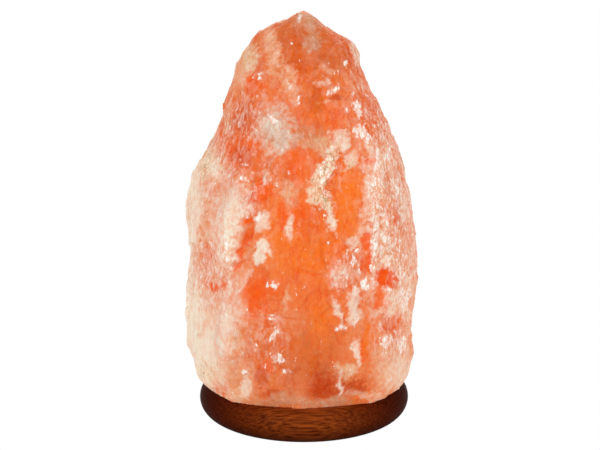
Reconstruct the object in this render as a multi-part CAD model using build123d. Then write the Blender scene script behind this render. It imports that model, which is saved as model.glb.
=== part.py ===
from build123d import *
import os
from math import cos, floor, pi, radians, sin

# Salt crystal lamp: a hewn block of rock salt screwed to a turned wooden base. A small bulb stands in a
# cavity drilled up into the salt, in a holder that is pushed up through the base and held by spring clips.
# Millimetres, +Z up. The origin is on the table, on the axis of the base. The front is -Y, and the
# mains cord (not part of this model) would enter at the back, +Y.

# ---------------------------------------------------------------- sizes: base, feet and cord inlet
base_diameter = 150.0
base_thickness = 24.0            # the edge is fully rounded, so its radius is half of this
recess_depth = 14.0              # pocket in the underside for the holder's flange and the cord
recess_room = 7.0                # round the flange, for the fingers that pull it
hole_edge_break = 0.6            # small chamfer on the drilled edge of the recess

foot_diameter = 14.0
foot_height = 2.0
foot_edge_break = 0.5
foot_count = 4
foot_inset = 2.0                 # from the start of the rounded edge

cord_bore_diameter = 6.4         # for a round mains cord of 6 mm
grommet_wall = 1.0
grommet_flange_width = 1.3
grommet_flange_thickness = 3.0
grommet_sleeve_length = 12.0
grommet_seat_depth = 5.2         # how far the flat seat is sunk into the rounded edge

# ---------------------------------------------------------------- sizes: fasteners of the salt
screw_count = 3
screw_turn = 30.0                # degrees: keeps the screws off the cord hole
screw_shank_diameter = 4.0
screw_point_diameter = 0.6
screw_head_diameter = 8.0
screw_head_height = 2.6
screw_point_length = 5.0
screw_sink_depth = 7.0           # counterbore above the underside of the base
screw_sink_play = 1.0
screw_sink_wood = 8.0            # wood left between the recess and a counterbore
screw_hole_play = 0.2
anchor_diameter = 8.0
anchor_length = 28.0
anchor_collar_width = 0.7
anchor_collar_thickness = 1.0
anchor_end_gap = 1.0             # between the point of the screw and the end of the anchor
cross_slot_arm = 0.62            # share of the head's diameter
cross_slot_blade = 0.16          # share of the head's diameter
cross_slot_depth = 0.6           # share of the head's height

# ---------------------------------------------------------------- sizes: salt crystal
cavity_diameter = 52.0
cavity_depth = 100.0
cavity_end_break = 5.0
# Outline of the rough block: height above the base, then how far it reaches to the left, right,
# front and back of the axis of the base.
rock_outline = [
    (0.0, 73.5, 73.0, 62.5, 64.0),
    (6.0, 77.0, 77.5, 65.5, 67.0),
    (17.0, 80.0, 79.2, 68.5, 69.5),
    (27.0, 84.2, 78.4, 70.5, 71.5),
    (42.0, 84.0, 77.4, 72.0, 72.5),
    (58.0, 84.0, 78.2, 72.5, 73.5),
    (75.0, 84.0, 79.8, 73.0, 73.0),
    (92.0, 78.8, 81.8, 72.5, 71.0),
    (108.0, 82.0, 79.4, 72.0, 70.5),
    (125.0, 84.2, 77.8, 71.0, 70.0),
    (140.0, 82.4, 75.6, 68.5, 68.0),
    (152.0, 79.8, 72.6, 65.5, 65.0),
    (163.0, 69.2, 69.2, 61.5, 62.0),
    (175.0, 63.8, 65.2, 57.5, 58.5),
    (188.0, 57.8, 59.4, 53.0, 54.0),
    (203.0, 55.6, 51.4, 47.5, 48.5),
    (217.0, 52.4, 43.8, 42.5, 43.0),
    (229.0, 47.6, 37.6, 37.5, 37.0),
    (239.0, 44.2, 38.4, 32.0, 31.0),
    (247.0, 38.0, 33.2, 26.5, 25.0),
    (252.5, 30.8, 21.8, 20.0, 18.5),
    (258.0, 17.5, 14.0, 13.5, 12.5),
    (263.0, 10.5, 9.0, 8.0, 7.5),
]
rock_peak = (267.6, 0.0, 1.5)    # height above the base, then x and y of the highest point
rock_roundness = 2.35            # 2 gives round sections, more gives squarer ones
rock_ridges = [0.0, 46.0, 92.0, 139.0, 180.0, 224.0, 268.0, 313.0]   # degrees from +X, at the base
rock_ridge_lean = [4.0, -9.0, 7.0, 10.0, -5.0, 9.0, -12.0, 8.0]      # degrees gained up to the peak
rock_flatness = 0.5              # 0: faces bulge to the full outline, 1: faces are flat between ridges
rock_columns_per_face = 4
rock_chip_depth = 1.5            # how far the chipped surface stands in or out
rock_chip_shift = 0.28           # sideways and vertical scatter of the chips, as a share of their spacing
rock_chip_fade = 30.0            # nearer to the axis than this, the chips get shallower

# ---------------------------------------------------------------- sizes: bulb holder
holder_flange_width = 5.0        # how far the flange reaches past the hole in the base
holder_flange_thickness = 2.5
barrel_wall = 1.8
barrel_lip_height = 3.0
barrel_lip_gap = 2.0             # between the screw shell and the lip
barrel_lip_bore = 19.0
carrier_height = 13.0            # underside of the contact carrier above the top of the flange
carrier_thickness = 4.0
shoulder_height = 2.0            # ring in the barrel that the carrier is pushed up against
shoulder_width = 1.2
shoulder_play = 0.15
cord_cap_margin = 3.0            # from the edge of the flange
cord_cap_rise = 2.0              # above the underside of the base
cord_cap_wall = 1.6
clamp_sleeve_wall = 1.0          # inner sleeve of the cord cap, which holds the contact carrier up
cap_boss_diameter = 6.0
cap_boss_edge = 0.3              # from the bore of the barrel
cap_screw_diameter = 2.8
cap_screw_head_diameter = 5.4
cap_screw_head_height = 1.4
cap_screw_end_gap = 0.5

clip_space = 5.5                 # between the barrel and the hole in the base
clip_width = 8.0
clip_thickness = 0.5
clip_pad_height = 8.0
clip_seat_margin = 0.5
clip_seat_stand = 0.6            # the moulded seat of the clip stands this far out of the barrel
clip_hinge_height = 25.0         # where the clip starts to bend, above the flange
clip_straight_length = 2.0
clip_elbow_height = 7.0
clip_end_height = 1.8
clip_end_reach = 1.2             # how far the free end turns back in from the elbow
clip_bend_radius = 1.4
clip_rivet_diameter = 2.4
clip_rivet_head_diameter = 4.2
clip_rivet_head_height = 0.6

# ---------------------------------------------------------------- sizes: socket, contacts, terminals
thread_pitch = 2.822             # small Edison screw, 9 threads per inch
thread_crest_clearance = 0.35    # between the bulb's thread and the bore of the shell
socket_shell_wall = 0.5
socket_shell_height = 20.0
socket_lip_width = 2.6
socket_bead_radius = 0.8
socket_bead_sink = 0.1           # how far the bead's centre lies in the wall of the shell
socket_thread_turns = 4.0
socket_thread_lead = 1.5         # pitches that the shell's thread starts below the bulb's
tongue_width = 4.0
tongue_thickness = 0.4
tongue_foot_length = 2.8
tongue_foot_gap = 0.65           # between the foot and the wall of the shell
tongue_rise = 3.0                # top of the tongue above the carrier
tongue_tip_length = 2.0
contact_rivet_diameter = 1.6
contact_rivet_head_diameter = 2.4
contact_rivet_head_height = 0.5
terminal_length = 5.0
terminal_width = 5.0
terminal_height = 7.0
terminal_edge = 0.05             # of the outer terminal, past its rivet
terminal_wire_hole = 2.6
terminal_screw_diameter = 2.6
terminal_screw_head_diameter = 4.2
terminal_screw_head_height = 1.6
terminal_screw_length = 4.0
terminal_screw_slot = 0.7

# ---------------------------------------------------------------- sizes: bulb
bulb_length = 57.0
bulb_diameter = 26.0
bulb_straight_height = 8.0       # of the glass below its dome
bulb_glass_wall = 0.7
glass_in_cap = 4.0               # how far the neck reaches down into the cap
bulb_thread_root_diameter = 12.2
bulb_bead_radius = 0.95
bulb_bead_sink = 0.15
bulb_thread_turns = 3.8
bulb_thread_start = 6.2          # above the tip
cap_height = 20.0
cap_wall = 0.4
cap_shell_start = 5.0            # above the tip
cap_rim_stand = 0.2              # past the crest of the thread
cap_rim_height = 1.6
insulator_small_diameter = 6.4
insulator_plug_height = 1.5
tip_diameter = 4.8
tip_height = 1.2
tip_rounding = 0.6
tip_pin_diameter = 2.4
stem_diameter = 5.0
stem_top = 30.0                  # above the tip
stem_flare_height = 6.0
press_width = 7.0
press_thickness = 2.4
press_height = 7.0
lead_diameter = 0.6
lead_seat_depth = 3.5            # in the press
lead_foot_spacing = 4.6
lead_spread = 11.0
lead_height = 9.0                # above the press
lead_straight_length = 1.5
lead_bend_radius = 1.5
support_diameter = 0.3
support_seat_depth = 1.5
support_foot_spacing = 1.6
support_straight_length = 2.0
support_bend_radius = 1.0
support_spread = 4.5
filament_diameter = 0.7          # the coiled wire seen as one thread
filament_bow = 3.2               # how far the filament bows forward
filament_lift = 0.6

# ---------------------------------------------------------------- clearances
slip = 0.1                       # between fitted pieces that don't move on each other
neck_clearance = 0.2             # between the neck of the glass and the cap
clip_clearance = 0.2             # between the squeezed clips and the wood
contact_clearance = 0.05         # between the contact tongue and the tip of the bulb
weld = 0.1                       # how far two bodies of one moulding run into each other
overrun = 1.0                    # how far a cut runs past the piece it cuts

# ---------------------------------------------------------------- radii and levels that follow
thread_crest_diameter = bulb_thread_root_diameter + 2 * (bulb_bead_radius - bulb_bead_sink)
socket_shell_bore = thread_crest_diameter + 2 * thread_crest_clearance
socket_shell_diameter = socket_shell_bore + 2 * socket_shell_wall
socket_lip_diameter = socket_shell_diameter + 2 * socket_lip_width
barrel_bore = socket_lip_diameter + 2 * (shoulder_play + shoulder_width)
barrel_diameter = barrel_bore + 2 * barrel_wall
base_hole_diameter = barrel_diameter + 2 * clip_space
holder_flange_diameter = base_hole_diameter + 2 * holder_flange_width
recess_diameter = holder_flange_diameter + 2 * recess_room
cord_cap_diameter = holder_flange_diameter - 2 * cord_cap_margin
cap_screw_place = (barrel_bore + cap_boss_diameter) / 2 + cap_boss_edge
screw_sink_diameter = screw_head_diameter + 2 * screw_sink_play
screw_circle_radius = (recess_diameter + screw_sink_diameter) / 2 + screw_sink_wood
screw_length = base_thickness - screw_sink_depth + anchor_length - anchor_end_gap
base_edge_radius = base_thickness / 2
base_flat_radius = base_diameter / 2 - base_edge_radius
foot_circle_radius = base_flat_radius - foot_inset - foot_diameter / 2
clip_seat = barrel_diameter / 2 + clip_seat_stand
tongue_bend = tongue_foot_length + tongue_foot_gap - socket_shell_bore / 2
bulb_neck_diameter = bulb_thread_root_diameter - 2 * (cap_wall + neck_clearance)
grommet_sleeve_diameter = cord_bore_diameter + 2 * grommet_wall
grommet_flange_diameter = grommet_sleeve_diameter + 2 * grommet_flange_width

underside = foot_height
base_top = underside + base_thickness
holder_seat = underside + recess_depth           # ceiling of the recess, where the flange stops
flange_bottom = holder_seat - holder_flange_thickness
cord_cap_bottom = underside + cord_cap_rise
cord_cap_floor = cord_cap_bottom + cord_cap_wall
cord_axis = (cord_cap_floor + flange_bottom) / 2
carrier_bottom = holder_seat + carrier_height
carrier_top = carrier_bottom + carrier_thickness
barrel_top = carrier_top + socket_shell_height + barrel_lip_gap + barrel_lip_height
clip_hinge = holder_seat + clip_hinge_height
bulb_tip = carrier_top + tongue_rise + contact_clearance
cap_top = bulb_tip + cap_height
glass_bottom = cap_top - glass_in_cap
press_top = bulb_tip + stem_top

UP = (Align.CENTER, Align.CENTER, Align.MIN)
DOWN = (Align.CENTER, Align.CENTER, Align.MAX)


def post(diameter, bottom, top, x=0.0, y=0.0):
    """A round bar between two heights."""
    return Pos(x, y, bottom) * Cylinder(diameter / 2, top - bottom, align=UP)


def ring(outer, inner, bottom, top):
    return post(outer, bottom, top) - post(inner, bottom, top)


def cone(bottom_diameter, top_diameter, bottom, top, x=0.0, y=0.0):
    return Pos(x, y, bottom) * Cone(bottom_diameter / 2, top_diameter / 2, top - bottom, align=UP)


def around(count, radius, first_angle):
    """Centres of a circular pattern."""
    turns = [radians(first_angle + 360.0 * i / count) for i in range(count)]
    return [(radius * cos(t), radius * sin(t)) for t in turns]


def group(pieces):
    """Separate solids that share one node."""
    return Compound(children=[piece.solid() for piece in pieces])


def revolved(*edges):
    """A solid of revolution about Z from edges drawn in the XZ plane."""
    return revolve(make_face(Wire(list(edges))), axis=Axis.Z)


def bent_strip(points, width, thickness, bend_radius):
    """Sheet-metal strip that follows points in the XZ plane."""
    path = FilletPolyline(*points, radius=bend_radius)
    section = Plane(origin=path @ 0, x_dir=(0, 1, 0), z_dir=path % 0) * Rectangle(width, thickness)
    return sweep(section, path=path)


def cross_slot(diameter, head_height, head_bottom, x=0.0, y=0.0):
    """Cross recess for a screwdriver, cut up into a head that faces down."""
    depth = cross_slot_depth * head_height
    arm = cross_slot_arm * diameter
    blade = cross_slot_blade * diameter
    bars = Box(arm, blade, depth, align=UP) + Box(blade, arm, depth, align=UP)
    return Pos(x, y, head_bottom) * bars


def thread_bead(radius, bead_radius, turns, bottom):
    """Round bead wound as a right-hand screw thread about Z."""
    path = Helix(thread_pitch, thread_pitch * turns, radius, center=(0, 0, bottom))
    section = Plane(origin=path @ 0, z_dir=path % 0) * Circle(bead_radius)
    return sweep(section, path=path, is_frenet=True)


# ---------------------------------------------------------------- salt crystal
def scatter(row, column, seed):
    """A fixed number between -1 and 1 for one point of the rock."""
    value = sin(12.9898 * row + 78.233 * column + 37.719 * seed) * 43758.5453
    return 2 * (value - floor(value)) - 1


def outline_at(height):
    """Left, right, front and back reach of the rock at a height above the base."""
    rows = rock_outline
    if height <= rows[0][0]:
        return rows[0][1:]
    for low, high in zip(rows, rows[1:]):
        if height <= high[0]:
            share = (height - low[0]) / (high[0] - low[0])
            return [a + share * (b - a) for a, b in zip(low[1:], high[1:])]
    return rows[-1][1:]


def section_radius(angle, height):
    """Distance from the axis to the smooth outline of the rock."""
    left, right, front, back = outline_at(height)
    across = right if cos(angle) > 0 else left
    along = back if sin(angle) > 0 else front
    power = rock_roundness
    return (abs(cos(angle) / across) ** power + abs(sin(angle) / along) ** power) ** (-1 / power)


def ridge_angle(index, height):
    """Where a ridge stands at a height, in radians. Index 8 is ridge 0 again, one turn on."""
    count = len(rock_ridges)
    lean = rock_ridge_lean[index % count] * height / rock_peak[0]
    return radians(rock_ridges[index % count] + lean + 360.0 * (index // count))


def rock_point(row, column, height):
    """A corner of the rock's surface, on a ridge or on the face between two."""
    face, step = divmod(column, rock_columns_per_face)
    inner_row = 0 < row
    side = scatter(row, column, 1) * rock_chip_shift if inner_row and step else 0.0
    share = (step + side) / rock_columns_per_face
    first, second = ridge_angle(face, height), ridge_angle(face + 1, height)
    angle = first + share * (second - first)
    r1, r2 = section_radius(first, height), section_radius(second, height)
    chord = r1 * r2 * sin(second - first) / (r1 * sin(angle - first) + r2 * sin(second - angle))
    radius = rock_flatness * chord + (1 - rock_flatness) * section_radius(angle, height)
    chip = scatter(row, column, 2) * rock_chip_depth * min(1.0, radius / rock_chip_fade) if inner_row else 0.0
    return Vector((radius + chip) * cos(angle), (radius + chip) * sin(angle), base_top + height)


def rock_rows():
    """Rings of corners from the foot of the rock up, with heights scattered between the rows."""
    columns = len(rock_ridges) * rock_columns_per_face
    heights = [row[0] for row in rock_outline]
    rings = []
    for row, height in enumerate(heights):
        ring_points = []
        for column in range(columns):
            shift = 0.0
            if 0 < row < len(heights) - 1:
                towards = scatter(row, column, 3)
                gap = heights[row + 1] - height if towards > 0 else height - heights[row - 1]
                shift = towards * rock_chip_shift * gap
            ring_points.append(rock_point(row, column, height + shift))
        rings.append(ring_points)
    return rings


def rough_rock():
    """The hewn block before drilling: flat chips between the rings, a flat foot and a peak."""
    rings = rock_rows()
    columns = len(rings[0])
    faces = [Face(Wire.make_polygon(rings[0]))]
    for row, (low, high) in enumerate(zip(rings, rings[1:])):
        for column in range(columns):
            after = (column + 1) % columns
            a, b, c, d = low[column], low[after], high[after], high[column]
            if scatter(row, column, 4) > 0:
                chips = [(a, b, c), (a, c, d)]
            else:
                chips = [(a, b, d), (b, c, d)]
            faces += [Face(Wire.make_polygon(chip)) for chip in chips]
    peak = Vector(rock_peak[1], rock_peak[2], base_top + rock_peak[0])
    for column in range(columns):
        after = (column + 1) % columns
        faces.append(Face(Wire.make_polygon((rings[-1][column], rings[-1][after], peak))))
    return Solid(Shell(faces))


def salt_crystal():
    cavity = post(cavity_diameter, base_top, base_top + cavity_depth)
    cavity = chamfer(cavity.edges().group_by(Axis.Z)[-1], cavity_end_break)
    block = Part(rough_rock().wrapped) - cavity
    for x, y in around(screw_count, screw_circle_radius, screw_turn):
        block -= post(anchor_diameter + 2 * slip, base_top, base_top + anchor_length + slip, x, y)
        collar_diameter = anchor_diameter + 2 * anchor_collar_width
        collar_top = base_top + anchor_collar_thickness + slip
        block -= post(collar_diameter + 2 * slip, base_top, collar_top, x, y)
    return block


# ---------------------------------------------------------------- wooden base and what is fixed to it
def grommet_seat():
    """How far back the flat seat of the grommet lies from the axis of the base."""
    drop = abs(cord_axis - underside - base_edge_radius)
    edge = base_flat_radius + (base_edge_radius ** 2 - drop ** 2) ** 0.5
    return edge - grommet_seat_depth


def along_back(diameter, near, far):
    """A round bar at the cord hole, between two distances behind the axis."""
    return Pos(0, near, cord_axis) * Rot(-90, 0, 0) * Cylinder(diameter / 2, far - near, align=UP)


def wooden_base():
    flat, edge = base_flat_radius, base_edge_radius
    disc = revolved(
        Line((0, 0, underside), (flat, 0, underside)),
        ThreePointArc((flat, 0, underside), (flat + edge, 0, underside + edge), (flat, 0, base_top)),
        Line((flat, 0, base_top), (0, 0, base_top)),
        Line((0, 0, base_top), (0, 0, underside)),
    )
    disc -= post(base_hole_diameter, underside, base_top)
    disc -= post(recess_diameter, underside, holder_seat)
    disc -= cone(recess_diameter + 2 * hole_edge_break, recess_diameter, underside,
                 underside + hole_edge_break)
    disc -= along_back(grommet_sleeve_diameter + 2 * slip, recess_diameter / 2 - 2 * overrun,
                       base_diameter / 2)
    disc -= along_back(grommet_flange_diameter + 2 * slip, grommet_seat(), base_diameter / 2 + overrun)
    sink_top = underside + screw_sink_depth
    for x, y in around(screw_count, screw_circle_radius, screw_turn):
        disc -= post(screw_shank_diameter + 2 * screw_hole_play, underside, base_top, x, y)
        disc -= post(screw_sink_diameter, underside, sink_top, x, y)
        disc -= cone(screw_head_diameter + 2 * slip, screw_shank_diameter + 2 * slip,
                     sink_top, sink_top + screw_head_height, x, y)
    return disc


def rubber_feet():
    feet = []
    for x, y in around(foot_count, foot_circle_radius, 180.0 / foot_count):
        foot = post(foot_diameter, 0, foot_height, x, y)
        feet.append(chamfer(foot.edges().group_by(Axis.Z)[0], foot_edge_break))
    return group(feet)


def cord_grommet():
    seat = grommet_seat()
    outer = seat + grommet_flange_thickness
    bush = along_back(grommet_sleeve_diameter, seat - grommet_sleeve_length, outer)
    bush += along_back(grommet_flange_diameter, seat, outer)
    return bush - along_back(cord_bore_diameter, seat - grommet_sleeve_length, outer)


def screw_anchors():
    """Plastic plugs that take the screws in the brittle salt."""
    plugs = []
    for x, y in around(screw_count, screw_circle_radius, screw_turn):
        plug = post(anchor_diameter, base_top, base_top + anchor_length, x, y)
        plug += post(anchor_diameter + 2 * anchor_collar_width, base_top,
                     base_top + anchor_collar_thickness, x, y)
        plugs.append(plug - post(screw_shank_diameter + 2 * slip, base_top,
                                 base_top + anchor_length, x, y))
    return group(plugs)


def base_screws():
    """Countersunk screws, heads down in the counterbores of the base."""
    head_bottom = underside + screw_sink_depth
    screws = []
    for x, y in around(screw_count, screw_circle_radius, screw_turn):
        point = head_bottom + screw_length - screw_point_length
        screw = cone(screw_head_diameter, screw_shank_diameter, head_bottom,
                     head_bottom + screw_head_height, x, y)
        screw += post(screw_shank_diameter, head_bottom + screw_head_height, point, x, y)
        screw += cone(screw_shank_diameter, screw_point_diameter, point, head_bottom + screw_length,
                      x, y)
        screws.append(screw - cross_slot(screw_head_diameter, screw_head_height, head_bottom, x, y))
    return group(screws)


# ---------------------------------------------------------------- bulb holder
def holder_barrel():
    """Moulded sleeve with the flange that stops against the base and a seat for each clip."""
    body = ring(barrel_diameter, barrel_bore, flange_bottom, barrel_top)
    body += ring(holder_flange_diameter, barrel_bore, flange_bottom, holder_seat)
    body += ring(barrel_bore + 2 * weld, barrel_lip_bore, barrel_top - barrel_lip_height, barrel_top)
    body += ring(barrel_bore + 2 * weld, barrel_bore - 2 * shoulder_width, carrier_top,
                 carrier_top + shoulder_height)
    for turn in (0, 180):
        seat_depth = clip_seat_stand + barrel_wall / 2
        seat = Pos(clip_seat, 0, clip_hinge) * Box(
            seat_depth, clip_width + 2 * clip_seat_margin, clip_pad_height,
            align=(Align.MAX, Align.CENTER, Align.MIN))
        drill = Pos(clip_seat, 0, clip_hinge + clip_pad_height / 2) * Rot(0, -90, 0) * Cylinder(
            clip_rivet_diameter / 2 + slip, clip_seat - barrel_bore / 2 + overrun, align=UP)
        body += seat.rotate(Axis.Z, turn)
        body -= drill.rotate(Axis.Z, turn)
    for x in (-cap_screw_place, cap_screw_place):
        body += post(cap_boss_diameter, cord_cap_floor, flange_bottom, x)
        body -= post(cap_screw_diameter + 2 * slip, cord_cap_floor, flange_bottom, x)
    return body


def cord_cap():
    """Cover under the flange, with the hole that the cord would enter by."""
    sleeve = barrel_bore - 2 * slip
    body = post(cord_cap_diameter, cord_cap_bottom, flange_bottom)
    body -= post(cord_cap_diameter - 2 * cord_cap_wall, cord_cap_floor, flange_bottom)
    body += ring(sleeve, sleeve - 2 * clamp_sleeve_wall, cord_cap_bottom, carrier_bottom)
    body -= along_back(cord_bore_diameter, 0.0, cord_cap_diameter / 2)
    for x in (-cap_screw_place, cap_screw_place):
        body -= post(cap_screw_diameter + 2 * slip, cord_cap_bottom, cord_cap_floor, x)
        body -= cone(cap_screw_head_diameter + 2 * slip, cap_screw_diameter + 2 * slip,
                     cord_cap_bottom, cord_cap_bottom + cap_screw_head_height, x)
    return body


def cord_cap_screws():
    head_top = cord_cap_bottom + cap_screw_head_height
    screws = []
    for x in (-cap_screw_place, cap_screw_place):
        screw = cone(cap_screw_head_diameter, cap_screw_diameter, cord_cap_bottom, head_top, x)
        screw += post(cap_screw_diameter, head_top, flange_bottom - cap_screw_end_gap, x)
        screws.append(screw - cross_slot(cap_screw_head_diameter, cap_screw_head_height,
                                         cord_cap_bottom, x))
    return group(screws)


def contact_carrier():
    """Insulating disc that carries the screw shell on top and the terminals below."""
    disc = post(barrel_bore - 2 * slip, carrier_bottom, carrier_top)
    for x in contact_rivet_places():
        disc -= post(contact_rivet_diameter + 2 * slip, carrier_bottom, carrier_top, x)
    return disc


def contact_rivet_places():
    """X of the rivet under the contact tongue and of the rivet through the screw shell's lip."""
    foot = tongue_bend - tongue_foot_length / 2
    lip = socket_shell_diameter / 2 + contact_rivet_head_diameter / 2 + slip
    return foot, lip


def contact_rivets():
    """They join the contacts on top of the carrier to the terminals below it."""
    rivets = []
    for x, stack in zip(contact_rivet_places(), (tongue_thickness, socket_shell_wall)):
        top = carrier_top + stack
        rivet = post(contact_rivet_diameter, carrier_bottom, top, x)
        rivets.append(rivet + post(contact_rivet_head_diameter, top,
                                   top + contact_rivet_head_height, x))
    return group(rivets)


def socket_shell():
    """Threaded metal shell that the bulb screws into."""
    shell_top = carrier_top + socket_shell_height
    shell = ring(socket_shell_diameter, socket_shell_bore, carrier_top, shell_top)
    shell += ring(socket_lip_diameter, socket_shell_bore, carrier_top, carrier_top + socket_shell_wall)
    bead = thread_bead(socket_shell_bore / 2 + socket_bead_sink, socket_bead_radius,
                       socket_thread_turns, bulb_tip + bulb_thread_start - socket_thread_lead * thread_pitch)
    shell += bead & ring(socket_shell_diameter, socket_shell_bore - 4 * socket_bead_radius,
                         carrier_top, shell_top)
    return shell - post(contact_rivet_diameter + 2 * slip, carrier_top,
                        carrier_top + socket_shell_wall, contact_rivet_places()[1])


def tongue_foot():
    foot = Pos(tongue_bend, 0, carrier_top) * Box(
        tongue_foot_length, tongue_width, tongue_thickness, align=(Align.MAX, Align.CENTER, Align.MIN))
    return foot - post(contact_rivet_diameter + 2 * slip, carrier_top,
                       carrier_top + tongue_thickness, contact_rivet_places()[0])


def centre_contact():
    """Springy part of the tongue, which presses up on the tip of the bulb."""
    start = tongue_bend + tongue_thickness / 2 + slip
    middle = carrier_top + tongue_thickness / 2
    top = carrier_top + tongue_rise - tongue_thickness / 2
    points = [(start, 0, middle), (-tongue_tip_length / 2, 0, top), (tongue_tip_length / 2, 0, top)]
    return bent_strip(points, tongue_width, tongue_thickness, tongue_thickness)


def terminal_places():
    """X of the two terminals: each lies under its rivet, inside the sleeve of the cord cap."""
    foot, lip = contact_rivet_places()
    rivet = contact_rivet_diameter / 2
    return foot - rivet, lip + rivet + terminal_edge - terminal_width / 2


def terminals():
    """Brass blocks that would clamp the two cores of the cord."""
    bottom = carrier_bottom - terminal_height
    blocks = []
    for x in terminal_places():
        block = Pos(x, 0, carrier_bottom) * Box(terminal_width, terminal_length, terminal_height,
                                                align=DOWN)
        block -= Pos(x, 0, (bottom + carrier_bottom) / 2) * Rot(90, 0, 0) * Cylinder(
            terminal_wire_hole / 2, terminal_length + 2 * overrun)
        block -= post(terminal_screw_diameter + 2 * slip, bottom, bottom + terminal_screw_length, x)
        blocks.append(block)
    return group(blocks)


def terminal_screws():
    bottom = carrier_bottom - terminal_height
    screws = []
    for x in terminal_places():
        screw = post(terminal_screw_diameter, bottom, bottom + terminal_screw_length - slip, x)
        screw += post(terminal_screw_head_diameter, bottom - terminal_screw_head_height, bottom, x)
        slot = Pos(x, 0, bottom - terminal_screw_head_height) * Box(
            terminal_screw_slot, terminal_screw_head_diameter, terminal_screw_slot, align=UP)
        screws.append(screw - slot)
    return group(screws)


# ---------------------------------------------------------------- spring clips
def clip_pad():
    """Flat end of the clip, riveted to its seat on the barrel. This is the one on the +X side."""
    pad = Pos(clip_seat, 0, clip_hinge) * Box(clip_thickness, clip_width, clip_pad_height,
                                              align=(Align.MIN, Align.CENTER, Align.MIN))
    drill = Pos(clip_seat, 0, clip_hinge + clip_pad_height / 2) * Rot(0, 90, 0) * Cylinder(
        clip_rivet_diameter / 2 + slip, clip_thickness, align=UP)
    return pad - drill


def clip_rivet():
    across = Pos(clip_seat, 0, clip_hinge + clip_pad_height / 2) * Rot(0, 90, 0)
    shank = Cylinder(clip_rivet_diameter / 2, clip_thickness, align=UP)
    shank += Cylinder(clip_rivet_diameter / 2, clip_seat - barrel_bore / 2, align=DOWN)
    head = Pos(0, 0, clip_thickness) * Cylinder(clip_rivet_head_diameter / 2,
                                                clip_rivet_head_height, align=UP)
    return across * (shank + head)


def clip_arm():
    """Springy part of the clip, squeezed by the hole in the base. This is the one on the +X side."""
    middle = clip_seat + clip_thickness / 2
    reach = base_hole_diameter / 2 - clip_clearance
    elbow = (reach ** 2 - (clip_width / 2) ** 2) ** 0.5 - clip_thickness / 2
    points = [
        (middle, 0, clip_hinge - slip),
        (middle, 0, clip_hinge - clip_straight_length),
        (elbow, 0, holder_seat + clip_elbow_height),
        (elbow - clip_end_reach, 0, holder_seat + clip_end_height),
    ]
    return bent_strip(points, clip_width, clip_thickness, clip_bend_radius)


def both_sides(piece):
    return group([piece, piece.rotate(Axis.Z, 180)])


# ---------------------------------------------------------------- bulb
def bulb_solid(inset):
    """The bulb's glass as a solid of revolution, taken in by inset all round."""
    neck, body = bulb_neck_diameter / 2 - inset, bulb_diameter / 2 - inset
    neck_top = cap_top + slip
    dome = bulb_tip + bulb_length - bulb_diameter / 2
    shoulder = dome - bulb_straight_height
    return revolved(
        Line((0, 0, glass_bottom), (neck, 0, glass_bottom)),
        Line((neck, 0, glass_bottom), (neck, 0, neck_top)),
        Spline((neck, 0, neck_top), (body, 0, shoulder), tangents=((0, 0, 1), (0, 0, 1))),
        Line((body, 0, shoulder), (body, 0, dome)),
        ThreePointArc((body, 0, dome), (body * cos(pi / 4), 0, dome + body * sin(pi / 4)),
                      (0, 0, dome + body)),
        Line((0, 0, dome + body), (0, 0, glass_bottom)),
    )


def bulb_glass():
    return bulb_solid(0.0) - bulb_solid(bulb_glass_wall)


def bulb_cap():
    """Screw cap: a thin threaded shell with a plain rim around the neck of the glass."""
    root, bore = bulb_thread_root_diameter, bulb_thread_root_diameter - 2 * cap_wall
    low = bulb_tip + cap_shell_start
    shell = ring(root, bore, low, cap_top)
    shell += ring(thread_crest_diameter + 2 * cap_rim_stand, bore, cap_top - cap_rim_height, cap_top)
    bead = thread_bead(root / 2 - bulb_bead_sink, bulb_bead_radius, bulb_thread_turns,
                       bulb_tip + bulb_thread_start)
    return shell + (bead & ring(root + 4 * bulb_bead_radius, bore, low, cap_top))


def cap_insulator():
    """Glass bead between the shell of the cap and its tip contact."""
    low, top = bulb_tip + tip_height, bulb_tip + cap_shell_start
    body = cone(insulator_small_diameter, bulb_thread_root_diameter, low, top)
    body += post(bulb_thread_root_diameter - 2 * (cap_wall + slip), top, top + insulator_plug_height)
    return body - post(tip_pin_diameter, low, top + insulator_plug_height)


def cap_contact():
    """Solder tip on the axis of the cap, with its pin through the glass bead."""
    tip = post(tip_diameter, bulb_tip, bulb_tip + tip_height)
    tip = fillet(tip.edges().group_by(Axis.Z)[0], tip_rounding)
    return tip + post(tip_pin_diameter - 2 * slip, bulb_tip + tip_height,
                      bulb_tip + cap_shell_start + insulator_plug_height)


def bulb_stem():
    """Glass mount: a flare sealed in the neck, a tube and the flat press that grips the wires."""
    flare_diameter = bulb_neck_diameter - 2 * (bulb_glass_wall + slip)
    flare_top = glass_bottom + stem_flare_height
    stem = cone(flare_diameter, stem_diameter, glass_bottom, flare_top)
    stem += post(stem_diameter, flare_top, press_top - press_height)
    stem += Pos(0, 0, press_top) * Box(press_width, press_thickness, press_height, align=DOWN)
    for side in (-1, 1):
        stem -= post(lead_diameter + 2 * slip, press_top - lead_seat_depth, press_top,
                     side * lead_foot_spacing / 2)
        stem -= post(support_diameter + 2 * slip, press_top - support_seat_depth, press_top,
                     side * support_foot_spacing / 2)
    return stem


def wire(points, diameter, bend_radius):
    path = FilletPolyline(*points, radius=bend_radius)
    section = Plane(origin=path @ 0, z_dir=path % 0) * Circle(diameter / 2)
    return sweep(section, path=path)


def lead_wires():
    """Two stiff wires that carry the ends of the filament."""
    wires = []
    for side in (-1, 1):
        foot = side * lead_foot_spacing / 2
        points = [(foot, 0, press_top - lead_seat_depth), (foot, 0, press_top + lead_straight_length),
                  (side * lead_spread / 2, 0, press_top + lead_height)]
        wires.append(wire(points, lead_diameter, lead_bend_radius))
    return group(wires)


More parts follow.
